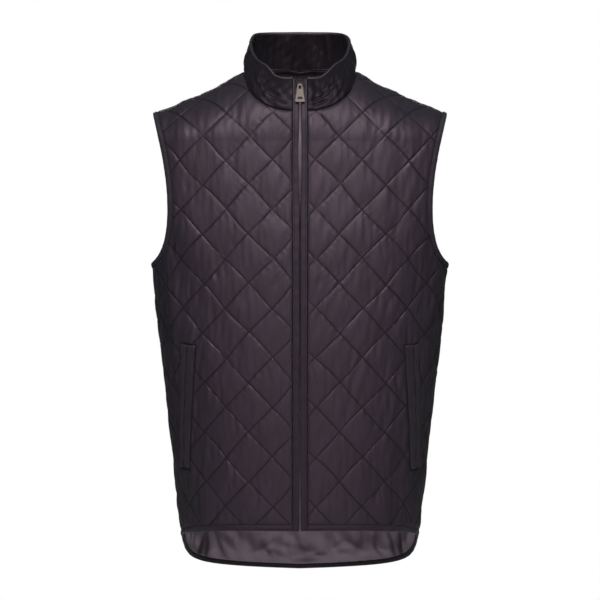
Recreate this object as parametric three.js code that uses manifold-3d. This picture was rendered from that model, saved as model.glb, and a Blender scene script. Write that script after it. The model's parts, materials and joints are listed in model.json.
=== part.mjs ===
// A quilted vest with a stand collar, bound edges, two hand pockets and a full front zip, filled out as
// it is when worn. Millimetres, +Z up, the front faces -Y and +X is on the wearer's left. The origin
// lies midway between the two points where the shoulder seams meet the collar.
import * as THREE from "three";
import { mergeVertices } from "three/addons/utils/BufferGeometryUtils.js";
import Module from "manifold-3d";

const wasm = await Module();
wasm.setup();

// Driving dimensions
const NECK_HALF = 79; // centre to the side neck point
const RIDGE_Z = -3; // the form's ridge there, under the cloth
const NECK_RISE = 30; // how far that ridge climbs on to the centre
const TIP = { x: 212, z: -65 }; // the shoulder seam's outer end
const SHOULDER_SAG = 5.5;
const ARMPIT_Z = -279;
const FRONT_NECK_Z = -67;
const BACK_NECK_Z = 4;
const ROLL_Z = -110; // above this level the cloth rolls back over the shoulder
const SIDE_HEM_Z = -677;
const FRONT_HEM_Z = -655;
const BACK_HEM_Z = -737;
const SECTION_POWER = 2.4; // how square the body's level sections are; 2 is an ellipse

// The form inside the cloth, level by level. Above the armpits half is the width that the sheet would
// reach if the armhole weren't cut from it.
const LEVELS = [
  { z: -760, half: 159, front: 121, back: 121 },
  { z: -674, half: 168.5, front: 124, back: 120 },
  { z: -522, half: 185.5, front: 126, back: 113 },
  { z: -370, half: 202, front: 124, back: 113 },
  { z: -283, half: 212, front: 120, back: 120 },
  { z: -240, half: 226, front: 117, back: 124 },
  { z: -195, half: 240, front: 112, back: 126 },
  { z: -110, half: 247, front: 104, back: 121 },
];

// The largest soft folds of each panel: a ridge's middle, its length, width, lean and height
const FOLDS = [
  { panel: "front", s: 196, t: -350, length: 170, width: 15, lean: 0.06, height: 3.2 },
  { panel: "front", s: -190, t: -365, length: 190, width: 14, lean: 0.02, height: 3.4 },
  { panel: "front", s: 152, t: -250, length: 150, width: 16, lean: -0.05, height: 2.2 },
  { panel: "front", s: -160, t: -240, length: 140, width: 15, lean: 0.05, height: 2.2 },
  { panel: "back", s: 175, t: -330, length: 220, width: 20, lean: 0.12, height: 4 },
  { panel: "back", s: -170, t: -345, length: 210, width: 20, lean: -0.12, height: 4 },
  { panel: "back", s: 60, t: -560, length: 200, width: 26, lean: 0.05, height: 3 },
  { panel: "back", s: -75, t: -540, length: 220, width: 26, lean: -0.05, height: 3 },
];

// Cloth and quilting
const CLOTH = 2; // wall at a stitch line
const PUFF = 3.6; // how far the padding stands out of it
const PUFF_POWER = 0.6;
const DIAMOND = { half: 33, rise: 34.6 }; // half a diamond's width and height
const DOME = 1e-4; // the cutting table's rise per square millimetre
const SEAM_GAP = 0.35;
const LINING = 1;
const LINING_GAP = 0.35;

// Trim
const BINDING = { width: 8, inner: -0.9, outer: 3.1 };
const PIPING_RADIUS = 1.6;
const PLACKET = { inner: 0.9, outer: 10, thick: 2.4 };
const ZIP = { tape: 13.5, tapeThick: 1.3, chainHalf: 2.9, chainThick: 2, under: 0.8 };
const SLIDER = { top: 4.9, bottom: 3.9, above: 6, below: 7, back: -2.6, face: 2.6 };
const BAIL = { half: 1.1, leg: 3.4, bar: 0.9, top: 6.3 };
const TAB = { topHalf: 4.3, footHalf: 7, length: 28, thick: 1.6, eyeHalf: 1.7, axis: 4 };
const POCKET = {
  top: { s: 165, t: -396 },
  foot: { s: 181, t: -571 },
  front: 14, // the jet on the zip's side
  rear: 10, // the jet on the side seam's side
  slit: 0.9,
  thick: 2.2,
};

// Collar: the rim's height round the neck, by the turn from the front to the back
const COLLAR = { half: 73.5, front: 84, back: 70, thick: 2.1, lining: 1, bulge: 4.5 };
const COLLAR_DEPTH = COLLAR.thick + SEAM_GAP + COLLAR.lining;
const RIM = [
  { turn: 0, height: -20 },
  { turn: 22, height: -19 },
  { turn: 34, height: -8 },
  { turn: 50, height: 5 },
  { turn: 75, height: 25 },
  { turn: 95, height: 43 },
  { turn: 115, height: 54 },
  { turn: 145, height: 59 },
  { turn: 180, height: 61 },
];
const RIM_POWER = { front: 2, back: 2.8 }; // how square the rim's plan is; 2 is an ellipse

const PANELS = {
  front: { name: "front", side: -1, depth: "front", rollPower: 2 },
  back: { name: "back", side: 1, depth: "back", rollPower: 2.4 },
};
const QUILTS = {
  front_left: { s: 22, t: -275.6 },
  front_right: { s: -38.5, t: -275.6 },
  back: { s: 0, t: -275.6 },
};

const clamp = THREE.MathUtils.clamp;
const smoothstep = THREE.MathUtils.smoothstep;

// A smooth curve through one column of a table, by another column that rises
function column(rows, key, by, value) {
  let i = 0;
  while (i < rows.length - 2 && rows[i + 1][by] < value) i++;
  const slope = (j) => {
    const low = rows[Math.max(j - 1, 0)];
    const high = rows[Math.min(j + 1, rows.length - 1)];
    return (high[key] - low[key]) / (high[by] - low[by]);
  };
  const span = rows[i + 1][by] - rows[i][by];
  const f = clamp((value - rows[i][by]) / span, 0, 1);
  const g = 1 - f;
  return (
    rows[i][key] * (1 + 2 * f) * g * g +
    rows[i + 1][key] * (3 - 2 * f) * f * f +
    span * f * g * (slope(i) * g - slope(i + 1) * f)
  );
}

// A quarter of a superellipse that starts at (0, rise) and ends at (run, 0)
const QUARTER_STEPS = 48;

function quarterPoint(run, rise, power, share) {
  const angle = (share * Math.PI) / 2;
  return [
    run * Math.max(Math.sin(angle), 0) ** (2 / power),
    rise * Math.max(Math.cos(angle), 0) ** (2 / power),
  ];
}

function quarterLengths(run, rise, power) {
  const lengths = [0];
  let before = [0, rise];
  for (let k = 1; k <= QUARTER_STEPS; k++) {
    const next = quarterPoint(run, rise, power, k / QUARTER_STEPS);
    lengths.push(lengths[k - 1] + Math.hypot(next[0] - before[0], next[1] - before[1]));
    before = next;
  }
  return lengths;
}

// The point at a length from the quarter's start
function alongQuarter(run, rise, power, length) {
  const lengths = quarterLengths(run, rise, power);
  let k = 1;
  while (k < QUARTER_STEPS && lengths[k] < length) k++;
  const part = clamp((length - lengths[k - 1]) / (lengths[k] - lengths[k - 1]), 0, 1);
  return quarterPoint(run, rise, power, (k - 1 + part) / QUARTER_STEPS);
}

// The length from the quarter's start to where it has run as far as x
function lengthToRun(run, rise, power, x) {
  const lengths = quarterLengths(run, rise, power);
  const share = Math.asin(clamp(x / run, 0, 1) ** (power / 2)) / (Math.PI / 2);
  const k = Math.min(Math.floor(share * QUARTER_STEPS), QUARTER_STEPS - 1);
  return lengths[k] + (lengths[k + 1] - lengths[k]) * (share * QUARTER_STEPS - k);
}

// Height of the shoulder ridge, which the shoulder seam follows
function ridge(x) {
  if (x >= NECK_HALF) {
    const share = (x - NECK_HALF) / (TIP.x - NECK_HALF);
    const sag = SHOULDER_SAG * Math.sin(Math.PI * Math.min(share, 1) ** 0.75);
    return RIDGE_Z + (TIP.z - RIDGE_Z) * share - sag;
  }
  return RIDGE_Z + NECK_RISE * (1 - (x / NECK_HALF) ** 2);
}

function ringOf(panel, t) {
  const level = Math.min(t, ROLL_Z);
  return [column(LEVELS, "half", "z", level), column(LEVELS, panel.depth, "z", level)];
}

// Half of a panel's width at a level, from the centre line to the side seam
function sideLength(panel, t) {
  const [half, depth] = ringOf(panel, t);
  return quarterLengths(half, depth, SECTION_POWER)[QUARTER_STEPS];
}

// From the flat cut, s across from the centre line and t up the cloth, to the form
function formPoint(panel, s, t) {
  const [half, depth] = ringOf(panel, t);
  const [x, reach] = alongQuarter(half, depth, SECTION_POWER, Math.abs(s));
  let y = reach;
  let z = t;
  if (t > ROLL_Z) {
    const [climb, left] = alongQuarter(ridge(x) - ROLL_Z, reach, panel.rollPower, t - ROLL_Z);
    y = left;
    z = ROLL_Z + climb;
  }
  return new THREE.Vector3(Math.sign(s) * x, panel.side * y, z);
}

// The other way: a place on the form, by its x and z, laid out flat
function flatPoint(panel, x, z) {
  const [half, depth] = ringOf(panel, z);
  const s = lengthToRun(half, depth, SECTION_POWER, x);
  if (z <= ROLL_Z) return new THREE.Vector2(s, z);
  const reach = depth * Math.max(1 - (x / half) ** SECTION_POWER, 0) ** (1 / SECTION_POWER);
  const climb = lengthToRun(ridge(x) - ROLL_Z, reach, panel.rollPower, z - ROLL_Z);
  return new THREE.Vector2(s, ROLL_Z + climb);
}

function foldHeight(panel, s, t) {
  return FOLDS.filter((f) => f.panel === panel.name).reduce((sum, f) => {
    const along = (t - f.t) / (f.length / 2);
    if (Math.abs(along) >= 1) return sum;
    const across = (s - f.s - f.lean * (t - f.t)) / f.width;
    return sum + f.height * Math.cos((along * Math.PI) / 2) ** 2 * Math.exp(-across * across);
  }, 0);
}

// A point of the flat cut, n above the cloth's inner face, in its place on the worn vest
function place(panel, s, t, n) {
  const across = formPoint(panel, s + 1, t).sub(formPoint(panel, s - 1, t));
  const up = formPoint(panel, s, t + 1).sub(formPoint(panel, s, t - 1));
  const out = across.cross(up).normalize().multiplyScalar(-panel.side);
  return formPoint(panel, s, t).addScaledVector(out, n + foldHeight(panel, s, t));
}

// A closed body between two grids of points, joined round their borders
function shellGeometry(outer, inner, mainDiagonal = () => true) {
  const across = outer.length;
  const up = outer[0].length;
  const points = [...outer.flat(), ...inner.flat()];
  const at = (layer, i, j) => layer * across * up + i * up + j;
  const faces = [];
  const quad = (a, b, c, d) => faces.push(a, b, c, a, c, d);
  for (let i = 0; i < across - 1; i++) {
    for (let j = 0; j < up - 1; j++) {
      for (const layer of [0, 1]) {
        const a = at(layer, i, j);
        const b = at(layer, i + 1, j);
        const c = at(layer, i + 1, j + 1);
        const d = at(layer, i, j + 1);
        const [p, q, r, s] = mainDiagonal(i, j) ? [a, b, c, d] : [b, c, d, a];
        if (layer) quad(p, s, r, q);
        else quad(p, q, r, s);
      }
    }
  }
  for (let i = 0; i < across - 1; i++) {
    quad(at(1, i, 0), at(1, i + 1, 0), at(0, i + 1, 0), at(0, i, 0));
    quad(at(0, i, up - 1), at(0, i + 1, up - 1), at(1, i + 1, up - 1), at(1, i, up - 1));
  }
  for (let j = 0; j < up - 1; j++) {
    quad(at(0, 0, j), at(0, 0, j + 1), at(1, 0, j + 1), at(1, 0, j));
    quad(at(1, across - 1, j), at(1, across - 1, j + 1), at(0, across - 1, j + 1), at(0, across - 1, j));
  }
  return closedGeometry(points, faces);
}

// A closed body through rings of points, capped at its ends unless the last ring meets the first
function sweepGeometry(rings, loop = false) {
  const count = rings[0].length;
  const faces = [];
  const last = loop ? rings.length : rings.length - 1;
  for (let i = 0; i < last; i++) {
    const next = (i + 1) % rings.length;
    for (let k = 0; k < count; k++) {
      const m = (k + 1) % count;
      const [a, b, c, d] = [i * count + k, i * count + m, next * count + m, next * count + k];
      faces.push(a, b, c, a, c, d);
    }
  }
  if (!loop) {
    const foot = (rings.length - 1) * count;
    for (let k = 1; k < count - 1; k++) {
      faces.push(0, k + 1, k);
      faces.push(foot, foot + k, foot + k + 1);
    }
  }
  return closedGeometry(rings.flat(), faces);
}

// Turns the faces out if they point in
function closedGeometry(points, faces) {
  let volume = 0;
  for (let f = 0; f < faces.length; f += 3) {
    const [a, b, c] = [points[faces[f]], points[faces[f + 1]], points[faces[f + 2]]];
    volume += a.dot(b.clone().cross(c));
  }
  if (volume < 0) faces.reverse();
  return new THREE.BufferGeometry().setFromPoints(points).setIndex(faces);
}

function solidOf(geometry) {
  const bare = geometry.clone();
  bare.deleteAttribute("normal");
  bare.deleteAttribute("uv");
  const merged = mergeVertices(bare);
  return new wasm.Manifold(
    new wasm.Mesh({
      numProp: 3,
      vertProperties: merged.attributes.position.array,
      triVerts: new Uint32Array(merged.index.array),
    }),
  );
}

// A solid's points, each moved by the given function
function geometryOf(solid, move = (point) => point) {
  const mesh = solid.getMesh();
  const points = [];
  for (let i = 0; i < mesh.numVert; i++) {
    const at = i * mesh.numProp;
    points.push(move(new THREE.Vector3().fromArray(mesh.vertProperties, at)));
  }
  return closedGeometry(points, Array.from(mesh.triVerts));
}

// Edges of the cut, each as points with the direction into the cloth
const EDGE_STEP = 15;

function curvePoints(curve, steps) {
  return Array.from({ length: steps + 1 }, (_, k) => curve.getPoint(k / steps));
}

function withInward(points, turn, firstInward, lastInward) {
  return points.map((point, k) => {
    const before = points[Math.max(k - 1, 0)];
    const after = points[Math.min(k + 1, points.length - 1)];
    const along = after.clone().sub(before).normalize();
    let inward = new THREE.Vector2(-along.y * turn, along.x * turn);
    if (k === 0 && firstInward) inward = firstInward;
    if (k === points.length - 1 && lastInward) inward = lastInward;
    return { point, inward };
  });
}

// The direction along the side seam, up or down, and along the shoulder seam to the neck, in the flat cut
function alongSide(panel, t, step) {
  const end = new THREE.Vector2(sideLength(panel, t + step), t + step);
  return end.sub(new THREE.Vector2(sideLength(panel, t), t)).normalize();
}

function alongShoulder(panel, x) {
  return flatPoint(panel, x - 8, ridge(x - 8)).sub(flatPoint(panel, x, ridge(x))).normalize();
}

// A curve that is drawn as seen from the front, as even steps of the flat cut
function spacedFlat(panel, curve, steps) {
  const flat = curve.getPoints(8 * steps).map((p) => flatPoint(panel, p.x, p.y));
  return new THREE.SplineCurve(flat).getSpacedPoints(steps);
}

// The armhole as seen from the front, from the shoulder tip to the armpit
const ARMHOLE_STEPS = 20;
const ARMHOLE = {
  front: [190, -125, 168, -258],
  back: [197, -125, 173, -258],
};

function armholeEdge(panel) {
  const [ax, az, bx, bz] = ARMHOLE[panel.name];
  const curve = new THREE.CubicBezierCurve(
    new THREE.Vector2(TIP.x, TIP.z),
    new THREE.Vector2(ax, az),
    new THREE.Vector2(bx, bz),
    new THREE.Vector2(ringOf(panel, ARMPIT_Z)[0], ARMPIT_Z),
  );
  const points = spacedFlat(panel, curve, ARMHOLE_STEPS);
  return withInward(points, -1, alongShoulder(panel, TIP.x), alongSide(panel, ARMPIT_Z, -8));
}

function frontHemEdge() {
  const side = sideLength(PANELS.front, SIDE_HEM_Z);
  const steps = Math.round(side / EDGE_STEP);
  const start = PLACKET.outer + SEAM_GAP;
  const points = [];
  for (let k = 0; k <= steps; k++) {
    const share = k / steps;
    const drop = (SIDE_HEM_Z - FRONT_HEM_Z) * share ** 3;
    points.push(new THREE.Vector2(start + (side - start) * share, FRONT_HEM_Z + drop));
  }
  const edges = points.map((point) => ({ point, inward: new THREE.Vector2(0, 1) }));
  edges.at(-1).inward = alongSide(PANELS.front, SIDE_HEM_Z, 8);
  return edges;
}

// The back's tail, from the side seam down round its corner to the centre
function backHemEdge() {
  const side = sideLength(PANELS.back, SIDE_HEM_Z);
  const curve = new THREE.CubicBezierCurve(
    new THREE.Vector2(side, SIDE_HEM_Z),
    new THREE.Vector2(side - 35, SIDE_HEM_Z - 35),
    new THREE.Vector2(side - 85, BACK_HEM_Z + 4),
    new THREE.Vector2(0, BACK_HEM_Z),
  );
  const points = curve.getSpacedPoints(Math.round(side / EDGE_STEP));
  return withInward(points, -1, alongSide(PANELS.back, SIDE_HEM_Z, 8), new THREE.Vector2(0, 1));
}

// The neckline as seen from the front, from the side neck point to the zip or the centre back
const NECK_STEPS = 9;

function neckEdge(panel) {
  const end = panel.name === "front" ? PLACKET.outer + SEAM_GAP : 0;
  const z = panel.name === "front" ? FRONT_NECK_Z : BACK_NECK_Z;
  const bends = panel.name === "front" ? [82, -46, 46, FRONT_NECK_Z] : [72, 8, 40, 9];
  const curve = new THREE.CubicBezierCurve(
    new THREE.Vector2(NECK_HALF, ridge(NECK_HALF)),
    new THREE.Vector2(bends[0], bends[1]),
    new THREE.Vector2(bends[2], bends[3]),
    new THREE.Vector2(end, z),
  );
  return spacedFlat(panel, curve, NECK_STEPS);
}

// The shoulder seam, from the armhole's cut edge to the neck
const SHOULDER_STEPS = 6;

function shoulderSeam(panel, fromX) {
  const points = [];
  for (let k = 0; k < SHOULDER_STEPS; k++) {
    const x = fromX + ((NECK_HALF - fromX) * k) / SHOULDER_STEPS;
    const point = flatPoint(panel, x, ridge(x));
    point.y -= SEAM_GAP;
    points.push(point);
  }
  return points;
}

const setIn = ({ point, inward }) =>
  point.clone().addScaledVector(inward, BINDING.width + SEAM_GAP);

// Half of a panel's outline inside its bindings, from the hem's inner end round to the neck
function halfOutline(panel, hemFromCentre) {
  const hem = hemFromCentre.map(setIn);
  const armhole = armholeEdge(panel).map(setIn);
  const low = hem.at(-1).y;
  const high = armhole.at(-1).y;
  const steps = Math.round((high - low) / EDGE_STEP / 1.5);
  const side = [];
  for (let k = 0; k <= steps; k++) {
    const t = low + ((high - low) * k) / steps;
    side.push(new THREE.Vector2(sideLength(panel, t) - SEAM_GAP / 2, t));
  }
  const arm = armhole.slice(1, -1).reverse();
  const neck = neckEdge(panel);
  neck[0].y -= SEAM_GAP;
  const seamStart = TIP.x - (BINDING.width + SEAM_GAP) * 0.9;
  return [...hem.slice(0, -1), ...side, ...arm, ...shoulderSeam(panel, seamStart), ...neck];
}

function outlineOf(name) {
  if (name === "back") {
    const half = halfOutline(PANELS.back, backHemEdge().reverse());
    const mirrored = half
      .slice(1, -1)
      .map((p) => new THREE.Vector2(-p.x, p.y))
      .reverse();
    return [...half, ...mirrored];
  }
  const hand = name === "front_left" ? 1 : -1;
  return halfOutline(PANELS.front, frontHemEdge()).map((p) => new THREE.Vector2(hand * p.x, p.y));
}

// How far inside an outline a point is, or 0 outside it
function depthInside(outline, s, t) {
  const point = new THREE.Vector3(s, t, 0);
  const line = new THREE.Line3();
  const nearest = new THREE.Vector3();
  let least = Infinity;
  let inside = false;
  outline.forEach((from, k) => {
    const to = outline[(k + 1) % outline.length];
    line.start.set(from.x, from.y, 0);
    line.end.set(to.x, to.y, 0);
    line.closestPointToPoint(point, true, nearest);
    least = Math.min(least, nearest.distanceTo(point));
    const spans = from.y > t !== to.y > t;
    if (spans && s < from.x + ((to.x - from.x) * (t - from.y)) / (to.y - from.y)) inside = !inside;
  });
  return inside ? least : 0;
}

function distanceToPocket(s, t) {
  const middle = (POCKET.front - POCKET.rear) / 2;
  const line = new THREE.Line3(
    new THREE.Vector3(POCKET.top.s - middle, POCKET.top.t, 0),
    new THREE.Vector3(POCKET.foot.s - middle, POCKET.foot.t, 0),
  );
  const point = new THREE.Vector3(Math.abs(s), t, 0);
  return line.closestPointToPoint(point, true, new THREE.Vector3()).distanceTo(point);
}

// How far the padding stands out between its diamond stitch lines, flat under edges and pocket jets
function puffHeight(name, outline, s, t) {
  const u = (s - QUILTS[name].s) / DIAMOND.half;
  const v = (t - QUILTS[name].t) / DIAMOND.rise;
  const lines = Math.sin(((u + v) * Math.PI) / 2) * Math.sin(((u - v) * Math.PI) / 2);
  const edge = smoothstep(depthInside(outline, s, t), 0, 13);
  const pocket = name === "back" ? 1 : smoothstep(distanceToPocket(s, t), 15, 31);
  return PUFF * Math.abs(lines) ** PUFF_POWER * edge * pocket;
}

const dome = (s, t) => DOME * (s * s + (t + 350) * (t + 350));

// A block whose top follows a surface on a grid that the stitch lines run through
const BLOCK_DEPTH = 60;

function blockUnder(name, outline, cells, margin, height) {
  const box = new THREE.Box2().setFromPoints(outline).expandByScalar(margin);
  const [ds, dt] = [DIAMOND.half / cells, DIAMOND.rise / cells];
  const { s, t } = QUILTS[name];
  const firstS = Math.floor((box.min.x - s) / ds);
  const firstT = Math.floor((box.min.y - t) / dt);
  const countS = Math.ceil((box.max.x - s) / ds) - firstS;
  const countT = Math.ceil((box.max.y - t) / dt) - firstT;
  const grid = (z) =>
    Array.from({ length: countS + 1 }, (_, i) =>
      Array.from({ length: countT + 1 }, (_, j) => {
        const [a, b] = [s + (firstS + i) * ds, t + (firstT + j) * dt];
        return new THREE.Vector3(a, b, z(a, b));
      }),
    );
  const mainDiagonal = (i, j) => (i + firstS - (j + firstT)) % 2 === 0;
  const top = grid((a, b) => height(a, b) + dome(a, b));
  return solidOf(shellGeometry(top, grid(() => -BLOCK_DEPTH), mainDiagonal));
}

// Quilted cloth cut to a panel's outline, as flat points and triangles. It is cut while it lies on a
// slightly domed table: a boolean merges the triangles of a flat face, and the dome keeps the points
// that the bent wall needs.
function cutCloth(name) {
  const outline = outlineOf(name);
  const height = (s, t) => CLOTH + puffHeight(name, outline, s, t);
  const above = blockUnder(name, outline, 2, 20, height);
  const below = blockUnder(name, outline, 1, 60, () => 0);
  const cutter = new THREE.ExtrudeGeometry(new THREE.Shape(outline), {
    depth: 4 * BLOCK_DEPTH,
    bevelEnabled: false,
  }).translate(0, 0, -BLOCK_DEPTH / 2);
  const mesh = above.subtract(below).intersect(solidOf(cutter)).getMesh();
  const points = Array.from({ length: mesh.numVert }, (_, i) => {
    const [s, t, n] = mesh.vertProperties.subarray(i * mesh.numProp, i * mesh.numProp + 3);
    return new THREE.Vector3(s, t, n - dome(s, t));
  });
  return { points, faces: Array.from(mesh.triVerts) };
}

function panelGeometry(cloth, panel) {
  const points = cloth.points.map((p) => place(panel, p.x, p.y, p.z));
  return closedGeometry(points, [...cloth.faces]);
}

// A thin wall just under the inner face of a panel's cloth, with the same triangles
function liningGeometry(cloth, panel) {
  const count = cloth.points.length;
  const layer = (n) => cloth.points.map((p) => place(panel, p.x, p.y, n));
  const faces = [];
  const edges = new Set();
  const onInnerFace = (v) => cloth.points[v].z < CLOTH / 4;
  for (let f = 0; f < cloth.faces.length; f += 3) {
    const [a, b, c] = cloth.faces.slice(f, f + 3);
    if (![a, b, c].every(onInnerFace)) continue;
    faces.push(a, c, b, a + count, b + count, c + count);
    for (const edge of [[a, b], [b, c], [c, a]]) {
      if (!edges.delete(`${edge[1]} ${edge[0]}`)) edges.add(edge.join(" "));
    }
  }
  for (const edge of edges) {
    const [a, b] = edge.split(" ").map(Number);
    faces.push(a, b, b + count, a, b + count, a + count);
  }
  return closedGeometry([...layer(-LINING_GAP), ...layer(-LINING_GAP - LINING)], faces);
}

// A binding's section: how far into the cloth from the finished edge, and how far above its inner face
const BOUND = [
  [BINDING.width, 0],
  [BINDING.width, CLOTH + 0.4],
  [BINDING.width - 1.5, BINDING.outer],
  [1.2, BINDING.outer],
  [0, BINDING.outer - 1.1],
  [0, BINDING.inner + 1],
  [1.2, BINDING.inner],
  [BINDING.width - 1.5, BINDING.inner],
];

function bindingRing(panel, edge, hand = 1) {
  return BOUND.map(([into, n]) => {
    const flat = edge.point.clone().addScaledVector(edge.inward, into);
    return place(panel, hand * flat.x, flat.y, n);
  });
}

function armholeBinding(hand) {
  const front = armholeEdge(PANELS.front).map((e) => bindingRing(PANELS.front, e, hand));
  const back = armholeEdge(PANELS.back).map((e) => bindingRing(PANELS.back, e, hand));
  return sweepGeometry([...front, ...back.reverse().slice(1, -1)], true);
}

function frontHemBinding(hand) {
  const edges = frontHemEdge();
  edges.at(-1).point.x -= SEAM_GAP / 2;
  return sweepGeometry(edges.map((e) => bindingRing(PANELS.front, e, hand)));
}

function backHemBinding() {
  const edges = backHemEdge();
  edges[0].point.x -= SEAM_GAP / 2;
  const left = edges.map((e) => bindingRing(PANELS.back, e));
  const right = edges.map((e) => bindingRing(PANELS.back, e, -1)).reverse();
  return sweepGeometry([...left, ...right.slice(1)]);
}

// Points at even lengths along a line of points
function evenly(points, count) {
  const curve = new THREE.CurvePath();
  for (let k = 1; k < points.length; k++) {
    curve.add(new THREE.LineCurve3(points[k - 1], points[k]));
  }
  return curve.getSpacedPoints(count);
}

// Half of the collar, from the zip to the centre back: the seam that it stands on, and its rim
const COLLAR_STEPS = 2 * NECK_STEPS;
const COLLAR_START = PLACKET.outer + 2.2 * SEAM_GAP;
const COLLAR_ROWS = 4;

function collarFoot() {
  const front = withInward(neckEdge(PANELS.front), -1).reverse();
  const back = withInward(neckEdge(PANELS.back), -1);
  const seam = (panel, { point, inward }) => {
    const flat = point.clone().addScaledVector(inward, SEAM_GAP * 2);
    return place(panel, flat.x, flat.y, CLOTH);
  };
  const points = [
    ...front.slice(0, -1).map((p) => seam(PANELS.front, p)),
    ...back.map((p) => seam(PANELS.back, p)),
  ];
  points[NECK_STEPS].add(seam(PANELS.front, front.at(-1))).multiplyScalar(0.5);
  points[NECK_STEPS].z += SEAM_GAP;
  points[0].x = COLLAR_START;
  points.at(-1).x = 0;
  return points;
}

function collarRim() {
  const points = [];
  for (let turn = 0; turn <= 180; turn += 5) {
    const side = turn < 90 ? "front" : "back";
    const share = side === "front" ? turn / 90 : 2 - turn / 90;
    const [across, reach] = quarterPoint(COLLAR.half, COLLAR[side], RIM_POWER[side], share);
    const x = side === "front" ? Math.max(across, COLLAR_START) : across;
    const y = side === "front" ? -reach : reach;
    points.push(new THREE.Vector3(x, y, column(RIM, "height", "turn", turn)));
  }
  points.at(-1).x = 0;
  return evenly(points.slice(1), COLLAR_STEPS);
}

// Points up the collar's outer face above one place of its seam, moved out by n
function collarPoint(foot, rim, share, n) {
  const centre = new THREE.Vector3(0, -4, 0);
  const point = foot.clone().lerp(rim, share);
  const out = point.clone().sub(centre).setZ(0).normalize();
  const upward = rim.clone().sub(foot).normalize();
  out.addScaledVector(upward, -out.dot(upward)).normalize();
  const bulge = COLLAR.bulge * (0.3 + 0.7 * smoothstep(Math.abs(foot.x), 5, 65));
  return point.addScaledVector(out, n + bulge * Math.sin(Math.PI * share));
}

function collarColumns() {
  const [foot, rim] = [collarFoot(), collarRim()];
  const half = foot.map((point, k) => ({ foot: point, rim: rim[k] }));
  const flip = (v) => new THREE.Vector3(-v.x, v.y, v.z);
  const other = half.slice(0, -1).map((c) => ({ foot: flip(c.foot), rim: flip(c.rim) }));
  return [...half, ...other.reverse()];
}

function collarWall(from, to) {
  const face = (n) =>
    collarColumns().map(({ foot, rim }) =>
      Array.from({ length: COLLAR_ROWS + 1 }, (_, j) =>
        collarPoint(foot, rim, j / COLLAR_ROWS, n),
      ),
    );
  return shellGeometry(face(from), face(to));
}

// Piping along the collar's rim
function pipingGeometry() {
  const sides = 6;
  const rings = collarColumns().map(({ foot, rim }) => {
    const up = rim.clone().sub(foot).normalize();
    const mid = collarPoint(foot, rim, 1, -COLLAR_DEPTH / 2);
    const out = collarPoint(foot, rim, 1, 0).sub(mid).normalize();
    mid.addScaledVector(up, PIPING_RADIUS + SEAM_GAP);
    return Array.from({ length: sides }, (_, k) => {
      const angle = ((k + 0.5) / sides) * Math.PI * 2;
      return mid
        .clone()
        .addScaledVector(out, PIPING_RADIUS * 1.15 * Math.cos(angle))
        .addScaledVector(up, PIPING_RADIUS * Math.sin(angle));
    });
  });
  return sweepGeometry(rings);
}

// The zip's line up the centre front and the collar, with the direction out of the cloth
const ZIP_STEPS = 34;

function zipLine() {
  const points = [];
  const top = flatPoint(PANELS.front, 0, FRONT_NECK_Z).y - 9;
  for (let k = 0; k <= ZIP_STEPS; k++) {
    points.push(formPoint(PANELS.front, 0, FRONT_HEM_Z + ((top - FRONT_HEM_Z) * k) / ZIP_STEPS));
  }
  const { foot, rim } = collarColumns()[0];
  for (const share of [0.05, 0.35, 0.7, 1]) {
    const point = collarPoint(foot, rim, share, -COLLAR_DEPTH + 0.1);
    points.push(point.setX(0));
  }
  return new THREE.CatmullRomCurve3(points, false, "centripetal");
}

const zipCurve = zipLine();
const zipLength = zipCurve.getLength();

function zipFrame(length) {
  const share = clamp(length / zipLength, 0, 1);
  const up = zipCurve.getTangentAt(share);
  return { at: zipCurve.getPointAt(share), up, out: new THREE.Vector3(0, -up.z, up.y) };
}

// A strip beside the zip: its section's corners are functions of the length from the hem
function zipStrip(start, end, corners) {
  const steps = Math.max(2, Math.round((ZIP_STEPS * (end - start)) / zipLength));
  const rings = [];
  for (let k = 0; k <= steps; k++) {
    const length = start + ((end - start) * k) / steps;
    const { at, out } = zipFrame(length);
    rings.push(corners(length).map(([x, n]) => at.clone().setX(x).addScaledVector(out, n)));
  }
  return sweepGeometry(rings);
}

const SLIDER_AT = zipLength - 11; // the pull tab's axis, up the zip
const THROAT = SLIDER_AT - SLIDER.below - SEAM_GAP;

function placketGeometry(hand) {
  return zipStrip(0, zipLength, (length) => {
    const opening = smoothstep(length, THROAT - 14, THROAT + 1) * (SLIDER.top + 0.5 - PLACKET.inner);
    const inner = PLACKET.inner + opening;
    return [
      [hand * inner, 0.3],
      [hand * (inner + 0.9), PLACKET.thick - 0.2],
      [hand * (inner + 2.2), PLACKET.thick],
      [hand * PLACKET.outer, PLACKET.thick - 0.4],
      [hand * PLACKET.outer, 0.2],
    ];
  });
}

// The tapes lie a little lower where the front bends into the collar
const BEND_AT = zipLength - 62;

function tapeGeometry(hand) {
  const [inner, outer] = [ZIP.chainHalf + SEAM_GAP, ZIP.tape];
  return zipStrip(BINDING.width + 1.5, THROAT, (length) => {
    const top = -ZIP.under - 0.8 * (1 - smoothstep(Math.abs(length - BEND_AT), 8, 40));
    const foot = top - ZIP.tapeThick;
    return [
      [hand * inner, top],
      [hand * outer, top],
      [hand * outer, foot],
      [hand * inner, foot],
    ];
  });
}

function chainGeometry() {
  const [half, top, foot] = [ZIP.chainHalf, -ZIP.under + 0.3, -ZIP.under - ZIP.chainThick];
  return zipStrip(1, THROAT, () => [
    [-half, top - 0.5],
    [-half * 0.5, top],
    [half * 0.5, top],
    [half, top - 0.5],
    [half, foot],
    [-half, foot],
  ]);
}

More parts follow.
